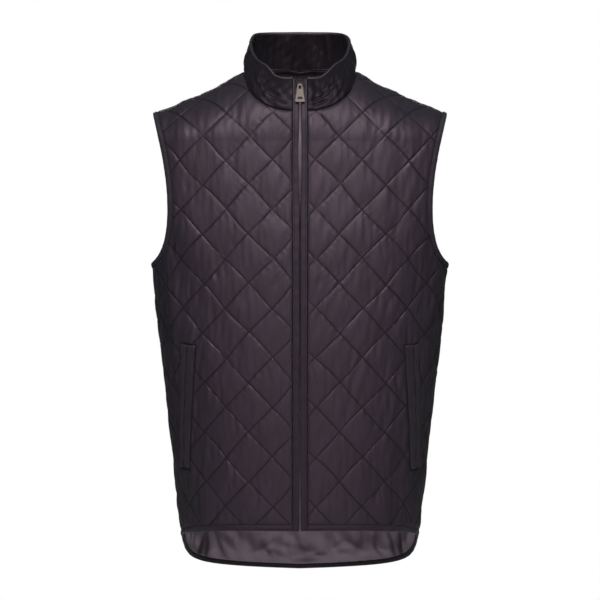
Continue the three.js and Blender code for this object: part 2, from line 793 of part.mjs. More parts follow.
// The slider's body, with the bail on its face that carries the pull tab
function sliderGeometry() {
  const shape = new THREE.Shape();
  shape.moveTo(-SLIDER.bottom, -SLIDER.below);
  shape.lineTo(SLIDER.bottom, -SLIDER.below);
  shape.quadraticCurveTo(SLIDER.bottom, -1, SLIDER.top, 2.5);
  shape.quadraticCurveTo(SLIDER.top, SLIDER.above, 0, SLIDER.above);
  shape.quadraticCurveTo(-SLIDER.top, SLIDER.above, -SLIDER.top, 2.5);
  shape.quadraticCurveTo(-SLIDER.bottom, -1, -SLIDER.bottom, -SLIDER.below);
  const body = new THREE.ExtrudeGeometry(shape, {
    depth: SLIDER.face - SLIDER.back,
    bevelEnabled: false,
    curveSegments: 6,
  }).translate(0, 0, SLIDER.back);
  const arch = new THREE.Shape();
  const [leg, bar] = [BAIL.leg, BAIL.bar];
  const inside = BAIL.top - bar;
  arch.moveTo(-leg, SLIDER.face - 0.5);
  arch.quadraticCurveTo(-leg, BAIL.top, -1, BAIL.top);
  arch.lineTo(1, BAIL.top);
  arch.quadraticCurveTo(leg, BAIL.top, leg, SLIDER.face - 0.5);
  arch.lineTo(leg - bar, SLIDER.face - 0.5);
  arch.quadraticCurveTo(leg - bar, inside, 1, inside);
  arch.lineTo(-1, inside);
  arch.quadraticCurveTo(-leg + bar, inside, -leg + bar, SLIDER.face - 0.5);
  const bail = new THREE.ExtrudeGeometry(arch, {
    depth: 2 * BAIL.half,
    bevelEnabled: false,
    curveSegments: 5,
  });
  // The arch is drawn along the zip and out of the cloth, and made across it
  bail.translate(0, 0, -BAIL.half).applyMatrix4(
    new THREE.Matrix4().makeBasis(
      new THREE.Vector3(0, 1, 0),
      new THREE.Vector3(0, 0, 1),
      new THREE.Vector3(1, 0, 0),
    ),
  );
  return geometryOf(solidOf(body).add(solidOf(bail)));
}

// The pull tab: a plate that widens to its foot, with an eye for the bail and a slot
function tabGeometry() {
  const { topHalf, footHalf, length, eyeHalf } = TAB;
  const shape = new THREE.Shape();
  shape.moveTo(-footHalf + 1, -length);
  shape.lineTo(footHalf - 1, -length);
  shape.quadraticCurveTo(footHalf, -length, footHalf - 0.1, -length + 1.2);
  shape.lineTo(topHalf, -7);
  shape.quadraticCurveTo(topHalf, 0.95, 1.6, 0.95);
  shape.lineTo(-1.6, 0.95);
  shape.quadraticCurveTo(-topHalf, 0.95, -topHalf, -7);
  shape.lineTo(-footHalf + 0.1, -length + 1.2);
  shape.quadraticCurveTo(-footHalf, -length, -footHalf + 1, -length);
  const eye = new THREE.Path();
  eye.moveTo(-eyeHalf, -0.95);
  eye.lineTo(-eyeHalf, -5.2);
  eye.quadraticCurveTo(-eyeHalf, -6.8, 0, -6.8);
  eye.quadraticCurveTo(eyeHalf, -6.8, eyeHalf, -5.2);
  eye.lineTo(eyeHalf, -0.95);
  const slot = new THREE.Path();
  slot.moveTo(-3.2, -length + 4);
  slot.lineTo(-2.9, -length + 7.6);
  slot.lineTo(2.9, -length + 7.6);
  slot.lineTo(3.2, -length + 4);
  shape.holes.push(eye, slot);
  return new THREE.ExtrudeGeometry(shape, {
    depth: TAB.thick,
    bevelEnabled: false,
    curveSegments: 5,
  }).translate(0, 0, TAB.axis - TAB.thick / 2);
}

// A pocket jet: a folded strip on the front, between two distances from the pocket's slit
const JET_STEPS = 9;

function jetGeometry(hand, near, far) {
  const top = new THREE.Vector2(POCKET.top.s, POCKET.top.t);
  const foot = new THREE.Vector2(POCKET.foot.s, POCKET.foot.t);
  const along = foot.clone().sub(top).normalize();
  const aside = new THREE.Vector2(-along.y, along.x);
  const lift = CLOTH + 0.6;
  const face = (rise) =>
    Array.from({ length: JET_STEPS + 1 }, (_, i) =>
      [0, 0.5, 1].map((share, k) => {
        const off = near + (far - near) * share;
        const p = top.clone().lerp(foot, i / JET_STEPS).addScaledVector(aside, off);
        return place(PANELS.front, hand * p.x, p.y, lift + rise[k]);
      }),
    );
  const thick = POCKET.thick;
  return shellGeometry(face([thick * 0.8, thick, thick * 0.8]), face([0, 0, 0]));
}

// Finishes: matt taffeta with a soft gloss, plain trim of the same cloth, and plated metal
const finish = (color, roughness, metalness = 0) =>
  new THREE.MeshStandardMaterial({ color, roughness, metalness });
const quilted = finish(0x2f292f, 0.55);
const plain = finish(0x272227, 0.6);
const lining = finish(0x352e35, 0.5);
const coil = finish(0x1d191c, 0.45);
const metal = finish(0x8d8078, 0.35, 1);

const vest = new THREE.Group();

function add(name, geometry, material, parent = vest) {
  const mesh = new THREE.Mesh(geometry, material);
  mesh.name = name;
  parent.add(mesh);
}

const backCloth = cutCloth("back");
add("back", panelGeometry(backCloth, PANELS.back), quilted);
add("back_lining", liningGeometry(backCloth, PANELS.back), lining);
add("back_hem_binding", backHemBinding(), plain);
add("collar", collarWall(0, -COLLAR.thick), plain);
add("collar_lining", collarWall(-COLLAR.thick - SEAM_GAP, -COLLAR_DEPTH), lining);
add("collar_piping", pipingGeometry(), plain);
for (const [side, hand] of [["left", 1], ["right", -1]]) {
  add(`front_${side}`, panelGeometry(cutCloth(`front_${side}`), PANELS.front), quilted);
  add(`front_hem_binding_${side}`, frontHemBinding(hand), plain);
  add(`armhole_binding_${side}`, armholeBinding(hand), plain);
  add(`placket_${side}`, placketGeometry(hand), plain);
  add(`zip_tape_${side}`, tapeGeometry(hand), plain);
  add(`pocket_front_jet_${side}`, jetGeometry(hand, -POCKET.front, -POCKET.slit / 2), plain);
  add(`pocket_rear_jet_${side}`, jetGeometry(hand, POCKET.slit / 2, POCKET.rear), plain);
}
add("zip_chain", chainGeometry(), coil);

const { at, up } = zipFrame(SLIDER_AT);
const zipTop = new THREE.Group();
zipTop.position.copy(at);
zipTop.rotation.x = Math.atan2(up.z, up.y);
add("zip_slider", sliderGeometry(), metal, zipTop);
add("zip_pull_tab", tabGeometry(), metal, zipTop);
vest.add(zipTop);

export default vest;
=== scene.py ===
"""Cloth, sewing, zip and studio of the quilted vest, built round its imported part.

Garment sizes are in millimetres, as on the cut, and turn to metres where a mesh is made.
"""

import json
import math
from collections import namedtuple

import bpy
import numpy as np
from mathutils import Matrix, Vector
from mathutils.geometry import delaunay_2d_cdt


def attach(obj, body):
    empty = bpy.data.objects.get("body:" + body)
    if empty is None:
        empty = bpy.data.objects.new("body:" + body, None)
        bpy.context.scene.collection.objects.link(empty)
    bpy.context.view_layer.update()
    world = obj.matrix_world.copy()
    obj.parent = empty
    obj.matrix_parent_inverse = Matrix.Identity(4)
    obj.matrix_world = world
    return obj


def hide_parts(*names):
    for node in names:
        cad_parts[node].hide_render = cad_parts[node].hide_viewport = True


MM = 0.001
SIDES = (("left", 1), ("right", -1))  # the wearer's, each with its sign of x
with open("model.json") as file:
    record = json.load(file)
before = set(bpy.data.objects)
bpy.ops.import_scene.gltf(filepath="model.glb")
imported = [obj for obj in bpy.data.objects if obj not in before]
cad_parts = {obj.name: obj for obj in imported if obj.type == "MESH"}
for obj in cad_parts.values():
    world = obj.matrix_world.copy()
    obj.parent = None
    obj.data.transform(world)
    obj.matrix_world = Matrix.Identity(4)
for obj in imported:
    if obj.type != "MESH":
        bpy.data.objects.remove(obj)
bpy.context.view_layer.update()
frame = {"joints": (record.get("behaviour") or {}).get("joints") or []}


def link(name, data):
    """A new object with this data, in the scene."""
    made = bpy.data.objects.new(name, data)
    bpy.context.scene.collection.objects.link(made)
    return made


# Camera: level with the vest's middle, and far enough off for the photo's slight perspective
EYE_DISTANCE = 3.2
EYE_HEIGHT = -0.333
FRAME_WIDTH = 0.87  # what the frame spans at the vest's middle plane
SENSOR = 36


def add_camera():
    data = bpy.data.cameras.new("studio_camera")
    data.sensor_width = SENSOR
    data.lens = SENSOR * EYE_DISTANCE / FRAME_WIDTH
    camera = link("studio_camera", data)
    camera.location = (0, -EYE_DISTANCE, EYE_HEIGHT)
    camera.rotation_euler = (math.pi / 2, 0, 0)
    bpy.context.scene.camera = camera


add_camera()

# The form inside the cloth, by its level sections
NECK_HALF = 79  # from the centre to the side neck point
RIDGE_Z = -3  # the shoulder ridge's height there
NECK_RISE = 30  # how far the ridge climbs on to the centre
TIP_X, TIP_Z = 212, -65  # the shoulder seam's outer end
SHOULDER_SAG = 5.5
ARMPIT_Z = -279
FRONT_NECK_Z, BACK_NECK_Z = -67, 4
ROLL_Z = -110  # above this level the cloth rolls over the shoulder
SIDE_HEM_Z, FRONT_HEM_Z, BACK_HEM_Z = -677, -655, -737
SECTION_POWER = 2.4  # how square a level section is; 2 is an ellipse

Level = namedtuple("Level", "z half front back")
LEVELS = [
    Level(-760, 159, 121, 121),
    Level(-674, 168.5, 124, 120),
    Level(-522, 185.5, 126, 113),
    Level(-370, 202, 124, 113),
    Level(-283, 212, 120, 120),
    Level(-240, 226, 117, 124),
    Level(-195, 240, 112, 126),
    Level(-110, 247, 104, 121),
]

# Large folds of the panels, s across from the centre line and t up the flat cut
Fold = namedtuple("Fold", "panel s t length width lean height")
FOLDS = [
    Fold("front", 196, -350, 170, 15, 0.06, 3.2),
    Fold("front", -190, -365, 190, 14, 0.02, 3.4),
    Fold("front", 152, -250, 150, 16, -0.05, 2.2),
    Fold("front", -160, -240, 140, 15, 0.05, 2.2),
    Fold("back", 175, -330, 220, 20, 0.12, 4),
    Fold("back", -170, -345, 210, 20, -0.12, 4),
    Fold("back", 60, -560, 200, 26, 0.05, 3),
    Fold("back", -75, -540, 220, 26, -0.05, 3),
]

Panel = namedtuple("Panel", "name side roll_power")
FRONT = Panel("front", -1, 2)
BACK = Panel("back", 1, 2.4)

# Cloth, quilting and trim
CLOTH = 2  # wall at a stitch line
DIAMOND_HALF, DIAMOND_RISE = 33, 34.6
DIAMOND_SIDE = math.hypot(DIAMOND_HALF, DIAMOND_RISE)
Quilt = namedtuple("Quilt", "panel start cells")  # two stitch lines cross at start
QUILTS = {
    "back": Quilt(BACK, (0, -275.6), 20),
    "front_left": Quilt(FRONT, (22, -275.6), 28),
    "front_right": Quilt(FRONT, (-38.5, -275.6), 28),
}
BINDING_WIDTH = 8.3
TUCK = 1.2  # how far a panel's edge runs under its binding
PLACKET_OUTER = 10.1
LINING_GAP = 0.35

# Pockets: a slit between a front and a rear jet, on the left front's flat cut
POCKET_TOP, POCKET_FOOT = np.array([165.0, -396.0]), np.array([181.0, -571.0])
POCKET_LENGTH = np.linalg.norm(POCKET_FOOT - POCKET_TOP)
POCKET_WAY = (POCKET_FOOT - POCKET_TOP) / POCKET_LENGTH
POCKET_ASIDE = np.array([-POCKET_WAY[1], POCKET_WAY[0]])
JET_FRONT, JET_REAR, POCKET_SLIT = 14, 10, 0.7
JETS_HALF, JETS_MIDDLE = (JET_FRONT + JET_REAR) / 2, (JET_FRONT - JET_REAR) / 2

# Collar: its rim's plan, and its height by the turn round the neck from the front
COLLAR_HALF, COLLAR_FRONT, COLLAR_BACK = 73.5, 84, 70
COLLAR_THICK, COLLAR_LINING, COLLAR_BULGE = 2.1, 1, 4.5
COLLAR_DEPTH = COLLAR_THICK + LINING_GAP + COLLAR_LINING
COLLAR_START = 10.6
RIM_TURN = [0, 22, 34, 50, 75, 95, 115, 145, 180]
RIM_HEIGHT = [-20, -19, -8, 5, 25, 43, 54, 59, 61]
RIM_POWER = {"front": 2, "back": 2.8}


def smoothstep(x, low, high):
    share = np.clip((np.asarray(x, float) - low) / (high - low), 0, 1)
    return share * share * (3 - 2 * share)


def hump(x):
    """1 in the middle, and softly down to 0 at -1 and 1."""
    return np.cos(np.clip(x, -1, 1) * math.pi / 2) ** 2


def through(xs, ys, x):
    """A smooth curve through the points of a short table."""
    xs, ys, x = (np.asarray(v, float) for v in (xs, ys, x))
    before = np.maximum(np.arange(len(xs)) - 1, 0)
    after = np.minimum(np.arange(len(xs)) + 1, len(xs) - 1)
    slope = (ys[after] - ys[before]) / (xs[after] - xs[before])
    i = np.clip(np.searchsorted(xs, x) - 1, 0, len(xs) - 2)
    span = xs[i + 1] - xs[i]
    f = np.clip((x - xs[i]) / span, 0, 1)
    g = 1 - f
    ends = ys[i] * (1 + 2 * f) * g * g + ys[i + 1] * (3 - 2 * f) * f * f
    return ends + span * f * g * (slope[i] * g - slope[i + 1] * f)


def level_column(name, z):
    return through([row.z for row in LEVELS], [getattr(row, name) for row in LEVELS], z)


def section_at(panel, t):
    """The half width and the depth of the form's section at a level, up to the roll."""
    level = np.minimum(t, ROLL_Z)
    return level_column("half", level), level_column(panel.name, level)


QUARTER_STEPS = 48


def quarter_point(run, rise, power, share):
    """A place on a quarter of a superellipse, from (0, rise) to (run, 0)."""
    angle = share * math.pi / 2
    sine = np.maximum(np.sin(angle), 0) ** (2 / power)
    cosine = np.maximum(np.cos(angle), 0) ** (2 / power)
    return run * sine, rise * cosine


def quarter_lengths(run, rise, power):
    """A row for each run and rise, with the lengths up to each step of the quarter."""
    shares = np.linspace(0, 1, QUARTER_STEPS + 1)
    x, y = quarter_point(run[:, None], rise[:, None], power, shares[None, :])
    steps = np.hypot(np.diff(x, axis=1), np.diff(y, axis=1))
    return np.hstack([np.zeros((len(run), 1)), np.cumsum(steps, axis=1)])


def along_quarter(run, rise, power, length):
    """The place at a length along each quarter."""
    lengths = quarter_lengths(run, rise, power)
    rows = np.arange(len(run))
    k = np.clip((lengths < length[:, None]).sum(axis=1), 1, QUARTER_STEPS)
    before, after = lengths[rows, k - 1], lengths[rows, k]
    part = np.clip((length - before) / (after - before), 0, 1)
    return quarter_point(run, rise, power, (k - 1 + part) / QUARTER_STEPS)


def length_to_run(run, rise, power, x):
    """The other way: the length along each quarter up to an x."""
    lengths = quarter_lengths(run, rise, power)
    rows = np.arange(len(run))
    share = np.arcsin(np.clip(x / run, 0, 1) ** (power / 2)) / (math.pi / 2) * QUARTER_STEPS
    k = np.minimum(np.floor(share).astype(int), QUARTER_STEPS - 1)
    return lengths[rows, k] + (lengths[rows, k + 1] - lengths[rows, k]) * (share - k)


def ridge(x):
    """Height of the shoulder ridge, which the shoulder seam follows."""
    share = (x - NECK_HALF) / (TIP_X - NECK_HALF)
    sag = SHOULDER_SAG * np.sin(math.pi * np.clip(share, 0, 1) ** 0.75)
    outside = RIDGE_Z + (TIP_Z - RIDGE_Z) * share - sag
    inside = RIDGE_Z + NECK_RISE * (1 - (x / NECK_HALF) ** 2)
    return np.where(x >= NECK_HALF, outside, inside)


def form_point(panel, s, t):
    """From the flat cut, s across from the centre line and t up the cloth, to the form."""
    half, depth = section_at(panel, t)
    x, reach = along_quarter(half, depth, SECTION_POWER, np.abs(s))
    climb, left = along_quarter(ridge(x) - ROLL_Z, reach, panel.roll_power, np.maximum(t - ROLL_Z, 0))
    rolled = t > ROLL_Z
    y = np.where(rolled, left, reach)
    z = np.where(rolled, ROLL_Z + climb, t)
    return np.stack([np.sign(s) * x, panel.side * y, z], axis=1)


def flat_point(panel, x, z):
    """The other way: a place on the form, by its x and z, laid out flat."""
    x, z = np.atleast_1d(x).astype(float), np.atleast_1d(z).astype(float)
    half, depth = section_at(panel, z)
    s = length_to_run(half, depth, SECTION_POWER, x)
    reach = depth * np.maximum(1 - (x / half) ** SECTION_POWER, 1e-9) ** (1 / SECTION_POWER)
    climb = length_to_run(ridge(x) - ROLL_Z, reach, panel.roll_power, np.maximum(z - ROLL_Z, 0))
    return np.stack([s, np.where(z > ROLL_Z, ROLL_Z + climb, z)], axis=1)


def side_length(panel, t):
    """Across the cloth from the centre line to the side seam."""
    half, depth = section_at(panel, np.atleast_1d(t).astype(float))
    return quarter_lengths(half, depth, SECTION_POWER)[:, -1]


def fold_height(panel, s, t):
    total = np.zeros(len(s))
    for fold in FOLDS:
        if fold.panel != panel.name:
            continue
        along = (t - fold.t) / (fold.length / 2)
        across = (s - fold.s - fold.lean * (t - fold.t)) / fold.width
        total += fold.height * hump(along) * np.exp(-across * across)
    return total


class Bed:
    """Flat points laid on the form: where each one lies, and the direction out of the cloth."""

    def __init__(self, panel, flat):
        flat = np.asarray(flat, float)
        s, t = flat[:, 0], flat[:, 1]
        across = form_point(panel, s + 1, t) - form_point(panel, s - 1, t)
        up = form_point(panel, s, t + 1) - form_point(panel, s, t - 1)
        out = np.cross(across, up) * -panel.side
        self.out = out / np.linalg.norm(out, axis=1)[:, None]
        self.base = form_point(panel, s, t) + self.out * fold_height(panel, s, t)[:, None]

    def lift(self, height):
        return self.base + self.out * np.broadcast_to(height, len(self.base))[:, None]


# Curves of the flat cut
CURVE_STEPS = 300
STEP = 3  # between the points of an edge
EASE = 15  # how far from its end an edge's direction turns to that of the next
CHORD = 8  # an edge's direction is taken over this length


def bezier(a, b, c, d):
    f = np.linspace(0, 1, CURVE_STEPS + 1)[:, None]
    g = 1 - f
    a, b, c, d = (np.asarray(p, float) for p in (a, b, c, d))
    return a * g**3 + 3 * b * g * g * f + 3 * c * g * f * f + d * f**3


def lengths_along(points):
    """The length of a line up to each of its points."""
    return np.concatenate([[0], np.cumsum(np.linalg.norm(np.diff(points, axis=0), axis=1))])


def evenly(points, step):
    """Points at even lengths along a line, about a step apart."""
    lengths = lengths_along(points)
    wanted = np.linspace(0, lengths[-1], max(2, round(lengths[-1] / step) + 1))
    return np.stack([np.interp(wanted, lengths, points[:, k]) for k in range(points.shape[1])], axis=1)


def with_inward(points, first=None, last=None):
    """The direction into the cloth at each point of an edge, eased into the stated end directions."""
    along = np.gradient(points, axis=0)
    along /= np.linalg.norm(along, axis=1)[:, None]
    inward = np.stack([along[:, 1], -along[:, 0]], axis=1)
    lengths = lengths_along(points)
    for end, distance in ((first, lengths), (last, lengths[-1] - lengths)):
        if end is not None:
            share = smoothstep(distance, 0, EASE)[:, None]
            inward = inward * share + np.asarray(end) * (1 - share)
    return inward / np.linalg.norm(inward, axis=1)[:, None]


def along_side(panel, t, step):
    """The side seam's direction on the flat cut, over a step up or down."""
    end = np.array([side_length(panel, t + step)[0], t + step])
    way = end - np.array([side_length(panel, t)[0], t])
    return way / np.linalg.norm(way)


def along_shoulder(panel, x):
    way = flat_point(panel, x - CHORD, ridge(x - CHORD)) - flat_point(panel, x, ridge(x))
    return way[0] / np.linalg.norm(way[0])


ARMHOLE_BENDS = {"front": ((190, -125), (168, -258)), "back": ((197, -125), (173, -258))}


def armhole_edge(panel):
    half = float(level_column("half", ARMPIT_Z))
    curve = bezier((TIP_X, TIP_Z), *ARMHOLE_BENDS[panel.name], (half, ARMPIT_Z))
    points = evenly(flat_point(panel, curve[:, 0], curve[:, 1]), STEP)
    return points, with_inward(points, along_shoulder(panel, TIP_X), along_side(panel, ARMPIT_Z, -CHORD))


def front_hem_edge():
    side = side_length(FRONT, SIDE_HEM_Z)[0]
    share = np.linspace(0, 1, round(side / STEP) + 1)
    s = PLACKET_OUTER + (side - PLACKET_OUTER) * share
    points = np.stack([s, FRONT_HEM_Z + (SIDE_HEM_Z - FRONT_HEM_Z) * share**3], axis=1)
    inward = np.tile((0.0, 1.0), (len(points), 1))
    ease = smoothstep(side - s, 0, EASE)[:, None]
    return points, inward * ease + along_side(FRONT, SIDE_HEM_Z, CHORD) * (1 - ease)


def back_hem_edge():
    side = side_length(BACK, SIDE_HEM_Z)[0]
    bends = (side - 35, SIDE_HEM_Z - 35), (side - 85, BACK_HEM_Z + 4)
    points = evenly(bezier((side, SIDE_HEM_Z), *bends, (0, BACK_HEM_Z)), STEP)
    return points, with_inward(points, along_side(BACK, SIDE_HEM_Z, CHORD), (0, 1))


def neck_edge(panel):
    if panel is FRONT:
        bends, end = ((82, -46), (46, FRONT_NECK_Z)), (PLACKET_OUTER, FRONT_NECK_Z)
    else:
        bends, end = ((72, 8), (40, 9)), (0, BACK_NECK_Z)
    curve = bezier((NECK_HALF, float(ridge(NECK_HALF))), *bends, end)
    return evenly(flat_point(panel, curve[:, 0], curve[:, 1]), STEP)


def shoulder_seam(panel, from_x):
    x = np.linspace(from_x, NECK_HALF, round((from_x - NECK_HALF) / STEP) + 1)
    return flat_point(panel, x, ridge(x))


def set_in(edge):
    points, inward = edge
    return points + inward * (BINDING_WIDTH - TUCK)


def half_outline(panel, hem, neck_rise):
    """Half of a panel's outline, from the hem's inner end round to the neck."""
    armhole = set_in(armhole_edge(panel))[::-1]
    low, high = hem[-1, 1], armhole[0, 1]
    t = np.linspace(low, high, round((high - low) / STEP) + 1)
    side = np.stack([side_length(panel, t), t], axis=1)
    seam = shoulder_seam(panel, TIP_X - (BINDING_WIDTH - TUCK) * 0.9)
    neck = neck_edge(panel)
    neck = neck + with_inward(neck) * neck_rise
    return np.vstack([hem[:-1], side[:-1], armhole[:-1], seam[:-1], neck])


def outline_of(name, neck_rise=0):
    if name == "back":
        half = half_outline(BACK, set_in(back_hem_edge())[::-1], neck_rise)
        return np.vstack([half, half[1:-1][::-1] * (-1, 1)])
    half = half_outline(FRONT, set_in(front_hem_edge()), neck_rise)
    return half if name == "front_left" else half[::-1] * (-1, 1)


def is_inside(outline, points):
    inside = np.zeros(len(points), bool)
    for a, b in zip(outline, np.roll(outline, -1, axis=0)):
        spans = (a[1] > points[:, 1]) != (b[1] > points[:, 1])
        if spans.any():
            crossing = a[0] + (b[0] - a[0]) * (points[:, 1] - a[1]) / (b[1] - a[1] or 1)
            inside ^= spans & (points[:, 0] < crossing)
    return inside


def distance_to_line(line, points):
    """Distance from each point to a line through the given points."""
    least = np.full(len(points), np.inf)
    for a, b in zip(line[:-1], line[1:]):
        way = b - a
        share = np.clip((points - a) @ way / max(way @ way, 1e-9), 0, 1)
        gap = points - a - share[:, None] * way
        least = np.minimum(least, (gap * gap).sum(axis=1))
    return np.sqrt(least)


def edge_distance(outline, points):
    return distance_to_line(np.vstack([outline, outline[:1]]), points)


# Uneven detail, the same on every run


def uneven(s, t, length, seed, stretch=1.0):
    """A soft random field, about -1 to 1, whose waves are about a length long in s."""
    random = np.random.default_rng(seed)
    total = np.zeros(len(s))
    for _ in range(7):
        angle, phase = random.uniform(0, math.tau, 2)
        wave = math.tau / (length * random.uniform(0.7, 1.5))
        total += np.sin(wave * (math.cos(angle) * s + math.sin(angle) * t / stretch) + phase)
    return total / 2.6


Crease = namedtuple("Crease", "s t angle length width height")


def creased(folds, s, t):
    """The sum of soft ridges and troughs, each at its own place, angle and size."""
    total = np.zeros(len(s))
    for fold in folds:
        way = math.radians(fold.angle)
        along = (s - fold.s) * math.cos(way) + (t - fold.t) * math.sin(way)
        across = ((t - fold.t) * math.cos(way) - (s - fold.s) * math.sin(way)) / fold.width
        total += fold.height * hump(along / (fold.length / 2)) * np.exp(-across * across)
    return total


def scatter(i, j, seed):
    """A random number from 0 to 1 for each pair of whole numbers."""
    return np.modf(np.abs(np.sin(i * 127.1 + j * 311.7 + seed * 74.7) * 43758.5453))[0]


# Quilting: the wadding is thin, so each diamond is a low, nearly flat pillow in a narrow groove
GROOVE_DEPTH, GROOVE_WIDTH = 0.6, 1.3
PILLOW_HEIGHT = 1.25
SLACK_CREASES = 6


def wobble(flat):
    """How far the stitching strays from straight lines."""
    s, t = flat[:, 0], flat[:, 1]
    return 1.1 * np.stack([uneven(s, t, 95, 5), uneven(s, t, 80, 6)], axis=1)


def quilt_cells(name, flat):
    """Each point's place in the diamond lattice, in diamond sides."""
    s0, t0 = QUILTS[name].start
    straight = flat - wobble(flat)
    u, v = (straight[:, 0] - s0) / DIAMOND_HALF, (straight[:, 1] - t0) / DIAMOND_RISE
    return (u + v) / 2, (u - v) / 2


def quilt_place(name, a, b):
    """The other way: a place in the lattice, laid out flat."""
    s0, t0 = QUILTS[name].start
    straight = np.stack([s0 + (a + b) * DIAMOND_HALF, t0 + (a - b) * DIAMOND_RISE], axis=1)
    return straight + wobble(straight)


def pucker(along, line, distance, seed):
    """Short ripples that run off a stitch line at right angles and die out."""
    phase = math.tau * scatter(line, np.zeros_like(line), seed)
    wave = np.sin(math.tau * along / 9.5 + phase + 1.7 * np.sin(along / 19 + 2 * phase))
    wave += 0.6 * np.sin(math.tau * along / 6.1 + 3 * phase)
    patches = 0.3 + 0.7 * smoothstep(np.sin(along / 31 + 5 * phase), -0.3, 0.9)
    return wave * patches * np.exp(-distance / 6) * (1 - np.exp(-distance / 1.2))


def slack(name, flat, a, b):
    """Soft upright creases, in each diamond's own places, where the cloth hangs slack."""
    column, row = np.floor(a), np.floor(b)
    s0, t0 = QUILTS[name].start
    s = flat[:, 0] - s0 - (column + row + 1) * DIAMOND_HALF
    t = flat[:, 1] - t0 - (column - row) * DIAMOND_RISE
    total = np.zeros(len(s))
    for k in range(SLACK_CREASES):
        luck = [scatter(column, row, 7 * k + m + 1) for m in range(6)]
        off, level = (luck[0] - 0.5) * 36, (luck[1] - 0.5) * 34
        across = (s - off - (luck[2] - 0.5) * 0.45 * (t - level)) / (1.5 + 2.2 * luck[3])
        along = (t - level) / (14 + 18 * luck[4])
        total += (luck[5] - 0.62) * np.exp(-across * across) * hump(along)
    return total


def painted_groove_shade(name, flat):
    """Painted shade in the stitch grooves, 1 on a stitch line, fading out within about 2 mm, and in a band
    along the pocket's jets.
    """
    a, b = quilt_cells(name, flat)
    nearest = np.minimum(np.abs(a - np.round(a)), np.abs(b - np.round(b))) * DIAMOND_SIDE
    shade = np.exp(-((nearest / 1.15) ** 2))
    if name == "back":
        return shade
    aside = pocket_distance(flat)
    # Painted shade along the pocket's sewn-down edge
    pocket_edge_shade = np.exp(-(((aside - 0.6) / 1.3) ** 2))
    return np.maximum(shade * smoothstep(aside, 0, 1), pocket_edge_shade)


def pocket_distance(flat):
    """How far a place is from the pocket's jets, and 0 on them."""
    away = flat * (np.sign(flat[0, 0]), 1) - POCKET_TOP
    below = away @ POCKET_WAY
    across = np.abs(away @ POCKET_ASIDE + JETS_MIDDLE)
    beyond = np.maximum(-below, below - POCKET_LENGTH)
    return np.maximum(np.maximum(across - JETS_HALF, beyond), 0)


def quilt_height(name, flat, depth):
    """How far the padded cloth stands out of its inner face."""
    a, b = quilt_cells(name, flat)
    near_a, near_b = np.round(a), np.round(b)
    from_a, from_b = np.abs(a - near_a) * DIAMOND_SIDE, np.abs(b - near_b) * DIAMOND_SIDE
    groove = (1 - np.exp(-from_a / GROOVE_WIDTH)) * (1 - np.exp(-from_b / GROOVE_WIDTH))
    pillow = np.abs(np.sin(a * math.pi) * np.sin(b * math.pi)) ** 0.62
    fill = 0.75 + 0.5 * scatter(np.floor(a), np.floor(b), 3)
    height = GROOVE_DEPTH * groove + PILLOW_HEIGHT * fill * pillow
    ripple = pucker(b * DIAMOND_SIDE, near_a, from_a, 11) + pucker(a * DIAMOND_SIDE, near_b, from_b, 12)
    height += 0.3 * ripple
    s, t = flat[:, 0], flat[:, 1]
    side = smoothstep(np.abs(s), 60, 170)
    creases = uneven(s, t, 30, 21, 4.5) * (0.25 + 0.75 * side) + 0.35 * uneven(s, t, 13, 22, 4)
    hang = 0.3 + 0.7 * smoothstep(-t, 170, 330)
    height += (0.8 * creases + (1.7 + 1.5 * side) * hang * slack(name, flat, a, b)) * groove
    edge = 1 - np.exp(-np.maximum(depth - TUCK * 0.6, 0) / 3)
    if name != "back":
        edge = edge * smoothstep(pocket_distance(flat), 0, 4)
    return CLOTH * (0.35 + 0.65 * (1 - np.exp(-depth / 1.5))) + height * edge


# Meshes


def new_piece(name, points, faces, materials, cut, kinds=None, seam=None):
    """A smooth mesh from points in millimetres. cut gives each point's place on the cloth, for the weave,
    kinds gives each face's material, and seam is painted shade: how dark a point is, 1 on a stitch line."""
    points, faces = np.asarray(points, float), np.asarray(faces, np.int32)
    mesh = bpy.data.meshes.new(name)
    corners = faces.shape[1]
    mesh.vertices.add(len(points))
    mesh.vertices.foreach_set("co", (points * MM).ravel())
    mesh.loops.add(faces.size)
    mesh.loops.foreach_set("vertex_index", faces.ravel())
    mesh.polygons.add(len(faces))
    mesh.polygons.foreach_set("loop_start", np.arange(len(faces), dtype=np.int32) * corners)
    mesh.polygons.foreach_set("use_smooth", np.ones(len(faces), bool))
    if kinds is not None:
        mesh.polygons.foreach_set("material_index", np.asarray(kinds, np.int32))
    for material in materials:
        mesh.materials.append(material)
    layer = mesh.uv_layers.new(name="cut")
    layer.uv.foreach_set("vector", (np.asarray(cut)[faces.ravel()] * MM).ravel())
    if seam is not None:
        # The seam attribute holds painted shade: stitch grooves, the depth of the neck and fold hollows
        mesh.attributes.new("seam", "FLOAT", "POINT").data.foreach_set("value", np.asarray(seam, np.float32))
    mesh.update(calc_edges=True)
    mesh.validate()
    return link(name, mesh)


def volume_of(points, faces):
    a, b, c = (points[faces[:, k]] for k in (0, 1, 2))
    total = np.einsum("ij,ij->i", a, np.cross(b, c)).sum()
    if faces.shape[1] == 4:
        d = points[faces[:, 3]]
        total += np.einsum("ij,ij->i", a, np.cross(c, d)).sum()
    return total


def facing_out(points, faces):
    points, faces = np.asarray(points, float), np.asarray(faces)
    return faces if volume_of(points - points.mean(axis=0), faces) > 0 else faces[:, ::-1]


